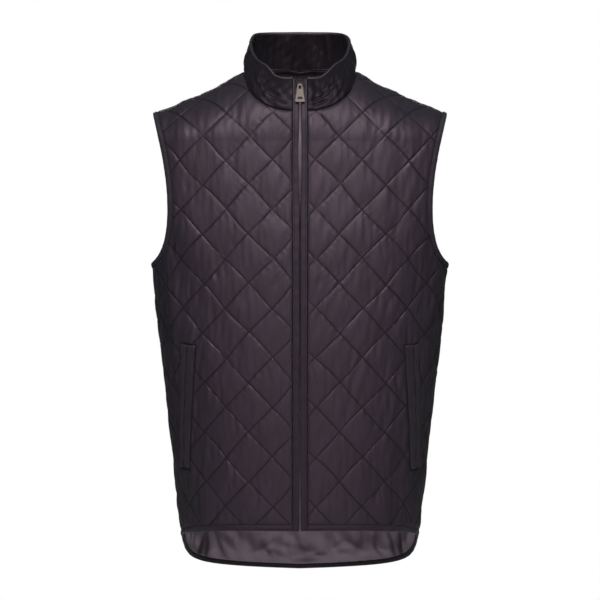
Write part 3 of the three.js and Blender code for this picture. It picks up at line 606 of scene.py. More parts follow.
def shell(name, outer, inner, material, cut):
    """A closed wall between two grids of points."""
    rows, columns = outer.shape[:2]
    grid = np.arange(rows * columns).reshape(rows, columns)
    count = grid.size
    corner = grid[:-1, :-1].ravel()
    face = np.stack([corner, corner + columns, corner + columns + 1, corner + 1], axis=1)
    rim = np.concatenate([grid[0], grid[1:, -1], grid[-1, -2::-1], grid[-2:0:-1, 0]])
    after = np.roll(rim, -1)
    wall = np.stack([after + count, rim + count, rim, after], axis=1)
    points = np.vstack([outer.reshape(-1, 3), inner.reshape(-1, 3)])
    faces = facing_out(points, np.vstack([face, face[:, ::-1] + count, wall]))
    return new_piece(name, points, faces, [material], np.vstack([cut, cut]))


def fan(ring, middle):
    """Triangles that close a ring of points round its middle point."""
    return np.stack([np.full(len(ring), middle), ring, np.roll(ring, -1)], axis=1)


def sweep(name, rings, material, cut, loop=False):
    """A closed tube through rings of points, shape (rings, points of a ring, 3)."""
    count, sides = rings.shape[:2]
    points = rings.reshape(-1, 3)
    k = np.arange(sides)
    quads = []
    for i in range(count if loop else count - 1):
        here, after = i * sides, (i + 1) % count * sides
        beside = (k + 1) % sides
        quads.append(np.stack([here + k, here + beside, after + beside, after + k], axis=1))
    faces = np.vstack(quads)
    if not loop:
        start = len(points)
        points = np.vstack([points, rings[0].mean(axis=0), rings[-1].mean(axis=0)])
        cut = np.vstack([cut, cut[[0, -1]]])
        caps = fan(k[::-1], start), fan((count - 1) * sides + k, start + 1)
        faces = np.vstack([faces[:, :3], faces[:, [0, 2, 3]], *caps])
    return new_piece(name, points, facing_out(points, faces), [material], cut)


def triangulate(outline, inner):
    """Triangles over the inside of an outline, whose points come first and keep their order."""
    points = np.vstack([outline, inner])
    flat = [Vector(p) for p in points]
    rim = list(range(len(outline)))
    _, _, faces, origins, _, _ = delaunay_2d_cdt(flat, [], [rim], 1, 1e-4)
    source = np.array([found[0] if found else -1 for found in origins])
    keep = np.array([[source[v] for v in face] for face in faces if min(source[v] for v in face) >= 0])
    a, b, c = (points[keep[:, k]] for k in (0, 1, 2))
    turned = (b[:, 0] - a[:, 0]) * (c[:, 1] - a[:, 1]) < (b[:, 1] - a[:, 1]) * (c[:, 0] - a[:, 0])
    keep[turned] = keep[turned][:, ::-1]
    return points, keep


def lattice_steps(low, high, cells):
    """Places along a lattice axis, closer together beside the stitch lines."""
    share = np.arange(cells // 2) / (cells // 2)
    half = 0.5 * share**1.5
    cell = np.concatenate([half, [0.5], 1 - half[:0:-1]])
    return np.concatenate([k + cell for k in range(math.floor(low), math.ceil(high) + 1)])


def lattice_span(name, outline):
    """The lattice places of the corners of an outline's box."""
    low, high = outline.min(axis=0), outline.max(axis=0)
    return quilt_cells(name, np.array([[x, y] for x in (low[0], high[0]) for y in (low[1], high[1])]))


def lattice_points(name, outline, cells):
    """Points inside an outline, in rows along the stitch lines, so many to a diamond's side."""
    low, high = outline.min(axis=0), outline.max(axis=0)
    a, b = lattice_span(name, outline)
    i, j = np.meshgrid(lattice_steps(a.min(), a.max(), cells), lattice_steps(b.min(), b.max(), cells))
    points = quilt_place(name, i.ravel(), j.ravel())
    points = points[np.all((points > low) & (points < high), axis=1)]
    points = points[is_inside(outline, points)]
    return points[edge_distance(outline, points) > 1]


# Mesh cells to a diamond's side: in the panels' plain inner faces, and in the back's lining, above and
# below the fronts' hem
PLAIN_CELLS = 6
LINING_CELLS, TAIL_CELLS = 8, 24


def neck_line(panel):
    """The neck's edge on the flat cut, from the left over the centre to the right."""
    left = neck_edge(panel)
    return np.vstack([left, left[:-1][::-1] * (-1, 1)])


def painted_neck_shade(panel, flat):
    """Painted shade, over 1 in the depth of the neck, fading out below it."""
    return 1.35 * (1 - smoothstep(distance_to_line(neck_line(panel), flat), 4, 42))


def edge_wall(ring, start):
    """Triangles round the edge, between two faces whose outlines come first among their points."""
    k = np.arange(ring)
    after = (k + 1) % ring
    lower = np.stack([after, k, k + start], axis=1)
    return np.vstack([lower, np.stack([after, k + start, after + start], axis=1)])


def hang(piece, outline, rests_on):
    """Does nothing with the hung sheet."""


def quilted_panel(name):
    """A quilted panel: a fine padded face, a plain inner face, and a wall round its edge."""
    panel = QUILTS[name].panel
    outline = outline_of(name)
    cells = QUILTS[name].cells
    outer, front_faces = triangulate(outline, lattice_points(name, outline, cells))
    inner, rear_faces = triangulate(outline, lattice_points(name, outline, PLAIN_CELLS))
    face = Bed(panel, outer).lift(quilt_height(name, outer, edge_distance(outline, outer)))
    wall = edge_wall(len(outline), len(face))
    points = np.vstack([face, Bed(panel, inner).lift(0)])
    faces = facing_out(points, np.vstack([front_faces, rear_faces[:, ::-1] + len(face), wall]))
    kinds = [0] * len(front_faces) + [1] * len(rear_faces) + [0] * len(wall)
    # The seam attribute: painted shade in the outer face's stitch grooves, and deep in the neck on the inner
    # face
    seam = np.concatenate([painted_groove_shade(name, outer), painted_neck_shade(panel, inner)])
    cut = np.vstack([outer, inner])
    piece = new_piece(name, points, faces, [taffeta, satin_lining], cut, kinds, seam)
    wear(piece, "quilted_shell", name)
    hang(piece, outline, ["collar"])
    return outline


def wear(piece, slot, *nodes, body="vest"):
    """The piece moves with its body and stands for its node."""
    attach(piece, body)
    if nodes:
        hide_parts(*nodes)


# Finishes


def linear(hex_colour):
    """An sRGB colour, such as 0x2F282E, as linear light."""
    channels = [((hex_colour >> shift) & 255) / 255 for shift in (16, 8, 0)]
    return [c / 12.92 if c <= 0.04045 else ((c + 0.055) / 1.055) ** 2.4 for c in channels] + [1]


def add_node(tree, kind, settings=None, links=None):
    """Adds a node, sets its fields and sockets, and links the named inputs."""
    node = tree.nodes.new(kind)
    for key, value in (settings or {}).items():
        if isinstance(key, str) and hasattr(node, key):
            setattr(node, key, value)
        else:
            node.inputs[key].default_value = value
    for key, output in (links or {}).items():
        tree.links.new(output, node.inputs[key])
    return node


def new_material(name):
    material = bpy.data.materials.new(name)
    material.use_nodes = True
    tree = material.node_tree
    tree.nodes.clear()
    return material, tree


def finish_with(tree, shader):
    output = tree.nodes.new("ShaderNodeOutputMaterial")
    tree.links.new(shader.outputs[0], output.inputs[0])


def cloth_place(tree, use_cut):
    """Where on the flat cut a point lies, so that the weave follows the cloth."""
    if use_cut:
        return add_node(tree, "ShaderNodeUVMap", {"uv_map": "cut"}).outputs["UV"]
    return add_node(tree, "ShaderNodeTexCoord").outputs["Object"]


def cloth_tone(tree, colours, slub, patch):
    """The yarns' uneven tone, with painted shade: cooler and darker where the cloth turns from view, and dark
    where the seam attribute marks stitch grooves, the neck's depth and fold hollows.
    """
    colour, shade, side = colours
    tone = add_node(tree, "ShaderNodeMath", {"operation": "MULTIPLY_ADD", 1: 0.55}, {0: slub, 2: patch})
    share = add_node(
        tree, "ShaderNodeMapRange", {"From Min": 0.45, "From Max": 1.15}, {"Value": tone.outputs[0]}
    )
    yarn = add_node(
        tree, "ShaderNodeMix", {"data_type": "RGBA", 6: linear(shade), 7: linear(colour)},
        {0: share.outputs[0]},
    )
    # Painted shade: the colour turns to the aslant tone where the surface turns from view
    facing = add_node(tree, "ShaderNodeLayerWeight", {"Blend": 0.5})
    turned = add_node(
        tree, "ShaderNodeMapRange", {"From Min": 0.04, "From Max": 0.42, "To Max": 0.85},
        {"Value": facing.outputs["Facing"]},
    )
    painted_side_shade = add_node(
        tree, "ShaderNodeMix", {"data_type": "RGBA", 7: linear(side)},
        {0: turned.outputs[0], 6: yarn.outputs[2]},
    )
    # Painted shade: darkens the colour where the seam attribute says, in stitch grooves, the neck's depth and
    # fold hollows
    seam = add_node(tree, "ShaderNodeAttribute", {"attribute_name": "seam"})
    painted_shade_share = add_node(tree, "ShaderNodeMath", {"operation": "MULTIPLY", 1: 0.66}, {0: seam.outputs["Fac"]})
    return add_node(
        tree, "ShaderNodeMix", {"data_type": "RGBA", 7: linear(PAINTED_SHADE)},
        {0: painted_shade_share.outputs[0], 6: painted_side_shade.outputs[2]},
    ).outputs[2]


def cloth_relief(tree, place, slub, thread, crinkle):
    """Small creases that the weave keeps, and over them the yarns."""
    upright = add_node(tree, "ShaderNodeMapping", {"Scale": (1, 0.24, 1)}, {"Vector": place})
    creases = add_node(
        tree, "ShaderNodeTexNoise", {"Scale": 120.0, "Detail": 3.0, "Roughness": 0.55, "Distortion": 0.5},
        {"Vector": upright.outputs[0]},
    )
    crinkled = add_node(
        tree, "ShaderNodeBump", {"Strength": 1.0, "Distance": crinkle * MM},
        {"Height": creases.outputs["Fac"]},
    )
    bands = {"Scale": 0.05 / (thread * MM), "Distortion": 0.6, "Detail": 1.0}
    across = add_node(tree, "ShaderNodeTexWave", {"bands_direction": "X", **bands}, {"Vector": place})
    up = add_node(tree, "ShaderNodeTexWave", {"bands_direction": "Y", **bands}, {"Vector": place})
    weave = add_node(
        tree, "ShaderNodeMath", {"operation": "MULTIPLY"}, {0: across.outputs[1], 1: up.outputs[1]}
    )
    relief = add_node(
        tree, "ShaderNodeMath", {"operation": "MULTIPLY_ADD", 1: 0.6}, {0: slub, 2: weave.outputs[0]}
    )
    return add_node(
        tree, "ShaderNodeBump", {"Strength": 0.35, "Distance": 0.12 * MM},
        {"Height": relief.outputs[0], "Normal": crinkled.outputs[0]},
    ).outputs[0]


def woven_polyester(name, colours, roughness, gloss, thread=0.55, crinkle=0.3, use_cut=True):
    """Polyester filament yarns in a plain weave, calendered to a low satin gloss. It reads as soft light
    streaks along the folds. colours are the yarn's, its shade's, and its tone seen aslant: painted shade,
    cooler and mostly darker where the surface turns from view. The yarns are 0.2 mm apart, too fine to
    show, so they are drawn as coarse as thread says. crinkle is the height in millimetres of the small
    creases that the weave keeps."""
    material, tree = new_material(name)
    place = cloth_place(tree, use_cut)
    drawn = add_node(tree, "ShaderNodeMapping", {"Scale": (1, 0.06, 1)}, {"Vector": place})
    slub = add_node(
        tree, "ShaderNodeTexNoise", {"Scale": 1100.0, "Detail": 3.0}, {"Vector": drawn.outputs[0]}
    )
    patch = add_node(tree, "ShaderNodeTexNoise", {"Scale": 24.0, "Detail": 4.0}, {"Vector": place})
    tone = cloth_tone(tree, colours, slub.outputs["Fac"], patch.outputs["Fac"])
    normal = cloth_relief(tree, place, slub.outputs["Fac"], thread, crinkle)
    polish = add_node(
        tree, "ShaderNodeMapRange",
        {"From Min": 0.3, "From Max": 0.7, "To Min": roughness + 0.05, "To Max": roughness - 0.05},
        {"Value": patch.outputs["Fac"]},
    )
    cloth = add_node(
        tree, "ShaderNodeBsdfPrincipled",
        {"Sheen Weight": 0.03, "Sheen Roughness": 0.4, "Specular IOR Level": gloss,
         "Specular Tint": (1.0, 0.8, 0.9, 1.0)},
        {"Base Color": tone, "Roughness": polish.outputs[0], "Normal": normal},
    )
    finish_with(tree, cloth)
    return material


def plain_finish(name, colour, roughness, metallic=0.0):
    """One colour, whose fine unevenness breaks up the highlights as handling does."""
    material, tree = new_material(name)
    place = add_node(tree, "ShaderNodeTexCoord").outputs["Object"]
    noise = add_node(tree, "ShaderNodeTexNoise", {"Scale": 900.0, "Detail": 4.0}, {"Vector": place})
    rough = add_node(
        tree, "ShaderNodeMapRange",
        {"To Min": roughness - 0.1, "To Max": roughness + 0.12}, {"Value": noise.outputs["Fac"]},
    )
    shader = add_node(
        tree, "ShaderNodeBsdfPrincipled",
        {"Base Color": linear(colour), "Metallic": metallic}, {"Roughness": rough.outputs[0]},
    )
    finish_with(tree, shader)
    return material


# Each cloth's colours: the yarn's, its shade's, and its tone seen aslant, which is painted shade where the
# surface turns from view
AUBERGINE = (0x3F3440, 0x342B33, 0x2E2B33)
TRIM = (0x3A313A, 0x2D262D, 0x3A3940)
# The collar's colours are painted shade, far darker than the body's taffeta
COLLAR_PAINTED_SHADE = (0x1E181D, 0x151116, 0x1E1D22)
# The piping's pale colour is a painted highlight, its dark aslant tone painted shade
PIPING_PAINTED_LIGHT = (0x62545E, 0x4C424A, 0x2E2B31)
LINING = (0xAC9CAA, 0x92838F, 0x8C7E8A)
TAPE = (0x1E1A1D, 0x161315, 0x161315)
PAINTED_SHADE = 0x0E0B0D  # painted shade, put in stitch grooves, deep in the neck and in deep fold hollows

# Calendered polyester taffeta: its flattened yarns give a soft satin sheen in streaks along the folds
taffeta = woven_polyester("polyester_taffeta", AUBERGINE, 0.5, 0.36, crinkle=0.5)
# The same taffeta folded into strips, duller where its layers lie pressed
trim_cloth = woven_polyester("polyester_taffeta_trim", TRIM, 0.5, 0.22, crinkle=0.6)
# The same taffeta round the collar and its lining, rumpled, in far darker colours: painted shade
collar_cloth_painted_shade = woven_polyester("polyester_taffeta_collar_painted_shade", COLLAR_PAINTED_SHADE, 0.45, 0.13, crinkle=0.8)
# The same taffeta on the bias, rolled tightly, in a far paler colour: a painted highlight along its curve,
# with painted shade aslant
piping_cloth_painted_light = woven_polyester("polyester_taffeta_piping_painted_light", PIPING_PAINTED_LIGHT, 0.5, 0.3, crinkle=0.5)
# Lining satin, whose long smooth floats give broad pale bands of light
satin_lining = woven_polyester("polyester_lining_satin", LINING, 0.36, 0.5, 0.5, 0.8)
# Dense zip tape of spun yarn, matt
tape_cloth = woven_polyester("woven_zip_tape", TAPE, 0.65, 0.3, 0.9, use_cut=False)
# Nylon monofilament, smooth with small hard highlights, in a pale grey that is a painted highlight of its
# glints
nylon = plain_finish("moulded_nylon_coil", 0x6A6264, 0.28)
# Die-cast zinc with an antique plating, a warm grey metal with a blurred shine
plated_zinc = plain_finish("antique_plated_zinc", 0x5C5551, 0.4, 1.0)
# The same casting in a far darker colour, with a dull shine: painted shade on the slider's plates
dark_zinc = plain_finish("zinc_painted_shade", 0x2B2725, 0.35, 1.0)
# Spun polyester thread, matt and darker than the cloth
sewing_thread = plain_finish("spun_polyester_thread", 0x1C181B, 0.6)

# Panels
outlines = {name: quilted_panel(name) for name in QUILTS}

TAIL_FOLDS = [
    Crease(-164, -700, 62, 90, 7, -5.6),
    Crease(-149, -700, 76, 80, 5, -5.0),
    Crease(-136, -698, 104, 70, 5, 4.6),
    Crease(-118, -708, 122, 60, 4.5, -3.0),
    Crease(-62, -708, 24, 90, 4.5, 3.4),
    Crease(-34, -712, -20, 60, 4, -2.6),
    Crease(-8, -706, -14, 110, 5, 3.0),
    Crease(10, -724, 2, 60, 3.5, -4.2),
    Crease(26, -714, 12, 70, 4, -2.8),
    Crease(54, -704, 28, 80, 5, 3.0),
    Crease(88, -704, -28, 80, 5, 3.8),
    Crease(124, -706, -60, 60, 4.5, -3.0),
    Crease(148, -696, 108, 80, 5, -5.0),
    Crease(167, -698, 100, 90, 7, -5.4),
]
TAIL_TOP = -640
NECK_TUCK = 3  # how far the back's lining runs up inside the collar


def lining_points(outline):
    """Points over the back's lining, close together where it shows below the fronts."""
    tail_cells = TAIL_CELLS
    coarse, fine = (lattice_points("back", outline, cells) for cells in (LINING_CELLS, tail_cells))
    return np.vstack([coarse[coarse[:, 1] > TAIL_TOP], fine[fine[:, 1] <= TAIL_TOP]])


def add_back_lining():
    """The back's lining, loose between its edges, with soft creases where it shows at the tail."""
    outline = outline_of("back", NECK_TUCK)
    flat, faces = triangulate(outline, lining_points(outline))
    s, t = flat[:, 0], flat[:, 1]
    tail = 1 + 1.6 * smoothstep(-t, 560, 660)
    folds = creased(TAIL_FOLDS, s, t)
    creases = tail * (1.4 * uneven(s, t, 52, 31, 0.8) + 0.8 * uneven(s, t, 21, 32, 1.2)) + folds
    loose = smoothstep(edge_distance(outline, flat), 1, 16)
    under_collar = 0.5 * (1 - smoothstep(distance_to_line(neck_line(BACK), flat), 5, 16))
    bed = Bed(BACK, flat)
    face = bed.lift(-LINING_GAP - under_collar)
    rear = bed.lift(-LINING_GAP - under_collar - 0.5 - (4.2 + creases * 0.75).clip(0) * loose)
    points = np.vstack([face, rear])
    wall = edge_wall(len(outline), len(face))
    faces = facing_out(points, np.vstack([faces, faces[:, ::-1] + len(face), wall]))
    # Painted shade deep in the neck and in the tail's fold hollows
    painted_lining_shade = np.maximum(painted_neck_shade(BACK, flat), np.clip(-folds / 4.2, 0, 1.2))
    cut, seam = np.tile(flat, (2, 1)), np.tile(painted_lining_shade, 2)
    piece = new_piece("back_lining", points, faces, [satin_lining], cut, seam=seam)
    wear(piece, "lining", "back_lining")
    hang(piece, outline, ["back"])


add_back_lining()

# Bindings: a bias strip folded over the edge and topstitched
BOUND = np.array([
    (8.3, 1.3), (8.1, 2.5), (7.4, 3.0), (6.75, 2.65), (6.1, 3.1), (4, 3.35), (1.7, 3.1), (0.4, 2.3),
    (0, 1.1), (0.4, -0.1), (1.7, -0.8), (4, -1.05), (6.1, -0.95), (7.6, -0.7), (8.3, 0),
])
STITCH_ROW = 3  # the point of BOUND that the topstitching follows
stitch_paths = []


def binding_rings(panel, edge, hand, seed):
    """Rings along an edge through the binding's section, and their places on its own strip."""
    points, inward = edge
    lengths = lengths_along(points)
    still = np.zeros(len(points))
    wave = 0.16 * uneven(lengths, still, 16, seed) + 0.12 * uneven(lengths, still, 7, seed + 1)
    rings, cut = [], []
    for into, height in BOUND:
        flat = points + inward * (into * (1 + 0.03 * wave[:, None]))
        swell = wave if height > 1 else -0.6 * wave
        rings.append(Bed(panel, flat * (hand, 1)).lift(height + swell))
        cut.append(np.stack([lengths, np.full(len(points), into + height)], axis=1))
    return np.stack(rings, axis=1), np.stack(cut, axis=1)


def bind(name, parts, loop=False):
    """One binding from its parts' rings and places, and its row of topstitching."""
    rings, cut = (np.vstack(column) for column in zip(*parts))
    piece = sweep(name, rings, trim_cloth, cut.reshape(-1, 2), loop)
    wear(piece, "plain_shell", name)
    stitch_paths.append(np.vstack([rings, rings[:1]] if loop else [rings])[:, STITCH_ROW])


def add_bindings():
    for side, hand in SIDES:
        front = binding_rings(FRONT, armhole_edge(FRONT), hand, 40 + hand)
        back = [part[::-1][1:-1] for part in binding_rings(BACK, armhole_edge(BACK), hand, 50 + hand)]
        bind(f"armhole_binding_{side}", [front, back], True)
        bind(f"front_hem_binding_{side}", [binding_rings(FRONT, front_hem_edge(), hand, 60 + hand)])
    left = binding_rings(BACK, back_hem_edge(), 1, 71)
    right = [part[::-1][1:] for part in binding_rings(BACK, back_hem_edge(), -1, 72)]
    bind("back_hem_binding", [left, right])


add_bindings()

# Collar


def collar_edges(columns):
    """The seam that the left half stands on, and its rim, from the zip to the centre back."""
    hole = []
    for panel in (FRONT, BACK):
        points = neck_edge(panel)
        hole.append(Bed(panel, points + with_inward(points) * 0.6).lift(CLOTH))
    front, back = hole[0][::-1], hole[1]
    half = columns // 2
    lengthwise = [evenly(part, lengths_along(part)[-1] / half) for part in (front, back)]
    foot = np.vstack([lengthwise[0], lengthwise[1][1:]])
    foot[half] = (lengthwise[0][-1] + lengthwise[1][0]) / 2
    foot[0, 0] = COLLAR_START
    foot[-1, 0] = 0
    turn = np.linspace(0, 180, 361)
    share = np.where(turn < 90, turn / 90, 2 - turn / 90)
    front_rim = quarter_point(COLLAR_HALF, COLLAR_FRONT, RIM_POWER["front"], share)
    back_rim = quarter_point(COLLAR_HALF, COLLAR_BACK, RIM_POWER["back"], share)
    x = np.where(turn < 90, np.maximum(front_rim[0], COLLAR_START), back_rim[0])
    y = np.where(turn < 90, -front_rim[1], back_rim[1])
    z = through(RIM_TURN, RIM_HEIGHT, turn)
    rim = np.stack([x, y, z], axis=1)
    rim = rim[np.argmax(rim[:, 0] > COLLAR_START):]
    rim = evenly(rim, lengths_along(rim)[-1] / (len(foot) - 1))
    rim[-1, 0] = 0
    return foot, rim


RIM_DIPS = [  # s from the zip, as for the folds, then width and height
    (-31, 7, -2.4), (-50, 9, 1.6), (-78, 12, -1.2), (-150, 16, -1.5),
    (34, 8, -1.2), (52, 11, 1.5), (84, 13, -1.3), (128, 15, 1.2), (170, 18, -1.4),
]


def from_zip(lengths):
    """Lengths round the collar, from the zip on the left half and minus that on the right half."""
    return np.where(lengths < lengths[-1] / 2, lengths, lengths - lengths[-1])


def collar_columns(columns):
    foot, rim = (np.vstack([line, line[:-1][::-1] * (-1, 1, 1)]) for line in collar_edges(columns))
    s = from_zip(lengths_along(rim))
    for at, width, height in RIM_DIPS:
        rim[:, 2] += height * np.exp(-(((s - at) / width) ** 2))
    return foot, rim


def collar_points(foot, rim, share, height):
    """Points up the collar's outer face, moved out by the height; shapes (columns, rows, 3)."""
    share, height = np.broadcast_arrays(share, height)
    points = foot[:, None] + (rim - foot)[:, None] * share[..., None]
    out = points - (0, -4, 0)
    out[..., 2] = 0
    out /= np.linalg.norm(out, axis=2)[..., None]
    upward = (rim - foot) / np.linalg.norm(rim - foot, axis=1)[:, None]
    out -= upward[:, None] * (out * upward[:, None]).sum(axis=2)[..., None]
    out /= np.linalg.norm(out, axis=2)[..., None]
    bulge = COLLAR_BULGE * (0.3 + 0.7 * smoothstep(np.abs(foot[:, 0]), 5, 65))
    return points + out * (height + bulge[:, None] * np.sin(math.pi * share))[..., None]


COLLAR_ROWS, COLLAR_COLUMNS = 40, 230
collar_foot, collar_rim = collar_columns(COLLAR_COLUMNS)
collar_round = lengths_along(collar_rim)
collar_share = np.tile(np.linspace(0, 1, COLLAR_ROWS + 1), (len(collar_rim), 1))
collar_height = np.linalg.norm(collar_rim - collar_foot, axis=1)
collar_cut = np.stack([
    np.repeat(collar_round, COLLAR_ROWS + 1),
    (collar_share * collar_height[:, None]).ravel(),
], axis=1)


COLLAR_FOLDS = [  # s from the zip along the left half, or minus that along the right half
    Crease(16, 9, 12, 36, 1.8, -1.5),
    Crease(22, 20, 22, 48, 2.0, -1.9),
    Crease(34, 30, 20, 44, 1.9, -1.6),
    Crease(46, 13, 28, 58, 2.2, -2.1),
    Crease(58, 24, 34, 40, 2.0, -1.5),
    Crease(64, 37, 24, 46, 2.0, -1.6),
    Crease(84, 20, 40, 54, 2.4, -1.8),
    Crease(100, 32, 62, 44, 2.6, -1.5),
    Crease(118, 24, 80, 44, 3.0, -1.2),
    Crease(-16, 12, -12, 34, 1.8, -1.5),
    Crease(-26, 24, -26, 44, 2.0, -1.9),
    Crease(-36, 35, -22, 40, 1.9, -1.4),
    Crease(-44, 15, -32, 56, 2.1, -2.1),
    Crease(-62, 27, -36, 48, 2.0, -1.8),
    Crease(-72, 39, -30, 44, 2.1, -1.5),
    Crease(-86, 18, -44, 50, 2.4, -1.7),
    Crease(-104, 33, -66, 44, 2.6, -1.5),
    Crease(-120, 26, -86, 44, 3.2, -1.2),
]
LINING_FOLDS = [
    Crease(212, 42, 88, 62, 3.4, 2.6),
    Crease(196, 50, 96, 40, 2.6, 1.8),
    Crease(-188, 40, 90, 70, 3.2, 3.0),
    Crease(-181, 44, 84, 56, 2.4, 1.8),
    Crease(-236, 40, 80, 60, 5, 1.6),
    Crease(-150, 36, 78, 52, 4.5, 1.8),
    Crease(155, 36, 100, 52, 4.5, 1.7),
]


def collar_creases(folds, seed, size):
    """Soft waves and folds over the collar, flat at its foot and its rim."""
    s, t = collar_cut[:, 0], collar_cut[:, 1]
    waves = uneven(s, t, 26, seed, 2.5) + 0.6 * uneven(s, t, 12, seed + 1, 1.5)
    total = size * waves + creased(folds, from_zip(s), t)
    return total.reshape(collar_share.shape) * np.sin(math.pi * collar_share) ** 0.6


def add_collar():
    """The collar's creased outer cloth and, behind it, its lining."""
    creases = 1.6 * collar_creases(COLLAR_FOLDS, 81, 0.55)
    edge = 1 - np.exp(-collar_share * collar_height[:, None] / 2.5)
    outer = collar_points(collar_foot, collar_rim, collar_share, creases - 1.1 * (1 - edge))
    inner = collar_points(collar_foot, collar_rim, collar_share, -COLLAR_THICK)
    # The collar and its lining take the darker collar taffeta: painted shade
    piece = shell("collar", outer, inner, collar_cloth_painted_shade, collar_cut)
    wear(piece, "plain_shell", "collar")
    foot = collar_foot.copy()
    behind = smoothstep(foot[:, 1], -60, 20)
    foot -= (collar_rim - foot) / collar_height[:, None] * (1 + 3.2 * behind)[:, None]
    face = collar_points(foot, collar_rim, collar_share, -COLLAR_THICK - LINING_GAP)
    loose = collar_creases(LINING_FOLDS, 91, 0.8).clip(-0.3)
    rear = collar_points(foot, collar_rim, collar_share, -COLLAR_DEPTH - loose)
    lining = shell("collar_lining", face, rear, collar_cloth_painted_shade, collar_cut)
    wear(lining, "lining", "collar_lining")


add_collar()


PIPING_SIDES, PIPING_OUT, PIPING_UP = 12, 2.3, 2.0


def add_piping():
    """A thin rolled edge that closes the collar's rim."""
    upward = collar_rim - collar_foot
    upward /= np.linalg.norm(upward, axis=1)[:, None]
    ones = np.ones((len(collar_rim), 1))
    face = collar_points(collar_foot, collar_rim, ones, 0)[:, 0]
    middle = collar_points(collar_foot, collar_rim, ones, -COLLAR_DEPTH / 2)[:, 0]
    out = face - middle
    out /= np.linalg.norm(out, axis=1)[:, None]
    middle = middle + upward * 1.2
    angles = np.arange(PIPING_SIDES) / PIPING_SIDES * math.tau
    rings = [middle + out * (PIPING_OUT * math.cos(a)) + upward * (PIPING_UP * math.sin(a)) for a in angles]
    around = np.tile(np.arange(PIPING_SIDES) * 0.9, len(middle))
    cut = np.stack([np.repeat(collar_round, PIPING_SIDES), around], axis=1)
    # The piping's pale colour is a painted highlight along the collar's rim
    piece = sweep("collar_piping", np.stack(rings, axis=1), piping_cloth_painted_light, cut)
    wear(piece, "plain_shell", "collar_piping")
    stitch_row = collar_points(collar_foot, collar_rim, ones * 0.93, 0.25)[:, 0]
    stitch_paths.append(stitch_row[2:-2])


add_piping()

# Zip: its line runs up the centre front and the collar


def zip_line():
    top = flat_point(FRONT, 0, FRONT_NECK_Z)[0, 1] - 5
    t = np.linspace(FRONT_HEM_Z, top, 160)
    body = form_point(FRONT, np.zeros(len(t)), t)
    share = np.linspace(0.08, 1, 16)[None, :]
    stand = collar_points(collar_foot[:1], collar_rim[:1], share, -COLLAR_DEPTH + 0.1)[0]
    stand[:, 0] = 0
    line = evenly(np.vstack([body, stand]), 2)
    for _ in range(8):
        line[1:-1] = (line[:-2] + 2 * line[1:-1] + line[2:]) / 4
    return evenly(line, 2)


zip_points = zip_line()
zip_way = np.gradient(zip_points, axis=0)
zip_way /= np.linalg.norm(zip_way, axis=1)[:, None]
zip_out = np.stack([np.zeros(len(zip_way)), -zip_way[:, 2], zip_way[:, 1]], axis=1)
zip_at = lengths_along(zip_points)
zip_length = zip_at[-1]
TAB_AXIS = 4  # the pull tab's axis stands this far out of the zip line
THROAT_BELOW = 7.35  # from that axis down to the slider's throat, where the chain is closed
TAPE_START, TAPE_INNER, TAPE_OUTER = 9.5, 2.6, 13.5
BEND_BELOW = 62  # from the zip's top down to its turn from the chest into the collar
COIL_OFF, COIL_SINK, COIL_PITCH = 1.15, 1.0, 1.5
pivot = np.array(frame["joints"][0]["pos_m"]) / MM
slider_index = int(np.argmin(np.linalg.norm(zip_points + zip_out * TAB_AXIS - pivot, axis=1)))
throat = zip_at[slider_index] - THROAT_BELOW


def zip_strip(start, end, corners):
    """Rings along the zip between two lengths; corners gives each ring's (x, height) pairs."""
    keep = (zip_at >= start) & (zip_at <= end)
    rings = []
    for at, point, out in zip(zip_at[keep], zip_points[keep], zip_out[keep]):
        across = np.asarray(corners(at), float)
        ring = point + out * across[:, 1:]
        ring[:, 0] = across[:, 0]
        rings.append(ring)
    return np.array(rings), zip_at[keep]


def strip_cut(rings, lengths):
    return np.stack([rings[..., 0].ravel(), np.repeat(lengths, rings.shape[1])], axis=1)


EDGE_ROW = 6  # the point of a placket's or a jet's section that its edge stitching follows
GAP_Z = [-660, -560, -470, -330, -272, -252, -232, -214, -196, -176, -120, -95]
GAP_WIDTH = [0.9, 0.5, 0.8, 0.6, 0.9, 0.3, 1.1, 0.35, 1.3, 1.6, 2.3, 1.6]  # from the centre line


def add_placket(side, hand):
    """A folded band of plain cloth beside the zip, topstitched at its outer edge."""
    def corners(at):
        opening = float(smoothstep(at, throat - 14, throat + 1)) * 4.5
        ripple = 0.22 * math.sin(at / 3.1 + hand) * math.sin(at / 17 + 2 * hand)
        here = np.interp(at, zip_at, zip_points[:, 2])
        inner = float(through(GAP_Z, GAP_WIDTH, here)) + opening + 0.15 * math.sin(at / 23 + hand)
        top = 2.35 + ripple
        rows = [
            (inner, 0.5), (inner, 1.5), (inner + 0.5, top - 0.3), (inner + 1.4, top),
            (max(6.2, inner + 2), top + 0.15), (7.8, top - 0.05), (8.4, top - 0.5), (9.0, top - 0.1),
            (9.8, top - 0.35), (10.2, 1.4), (10.2, 0.3), (6, 0.25),
        ]
        return [(hand * x, n) for x, n in rows]

    rings, lengths = zip_strip(0, zip_length, corners)
    piece = sweep(f"placket_{side}", rings, trim_cloth, strip_cut(rings, lengths))
    wear(piece, "plain_shell", f"placket_{side}")
    stitch_paths.append(rings[:, EDGE_ROW])


def add_tape(side, hand):
    """A strip of tape behind the placket, lower where the zip line turns."""
    def corners(at):
        bend = 0.8 * (1 - float(smoothstep(abs(at - (zip_length - BEND_BELOW)), 8, 40)))
        top, foot = -0.8 - bend, -2.0 - bend
        inner, outer = hand * TAPE_INNER, hand * TAPE_OUTER
        return [(inner, top), (outer, top), (outer, foot), (inner, foot)]

    rings, lengths = zip_strip(TAPE_START, throat, corners)
    piece = sweep(f"zip_tape_{side}", rings, tape_cloth, strip_cut(rings, lengths))
    wear(piece, "plain_shell", f"zip_tape_{side}")


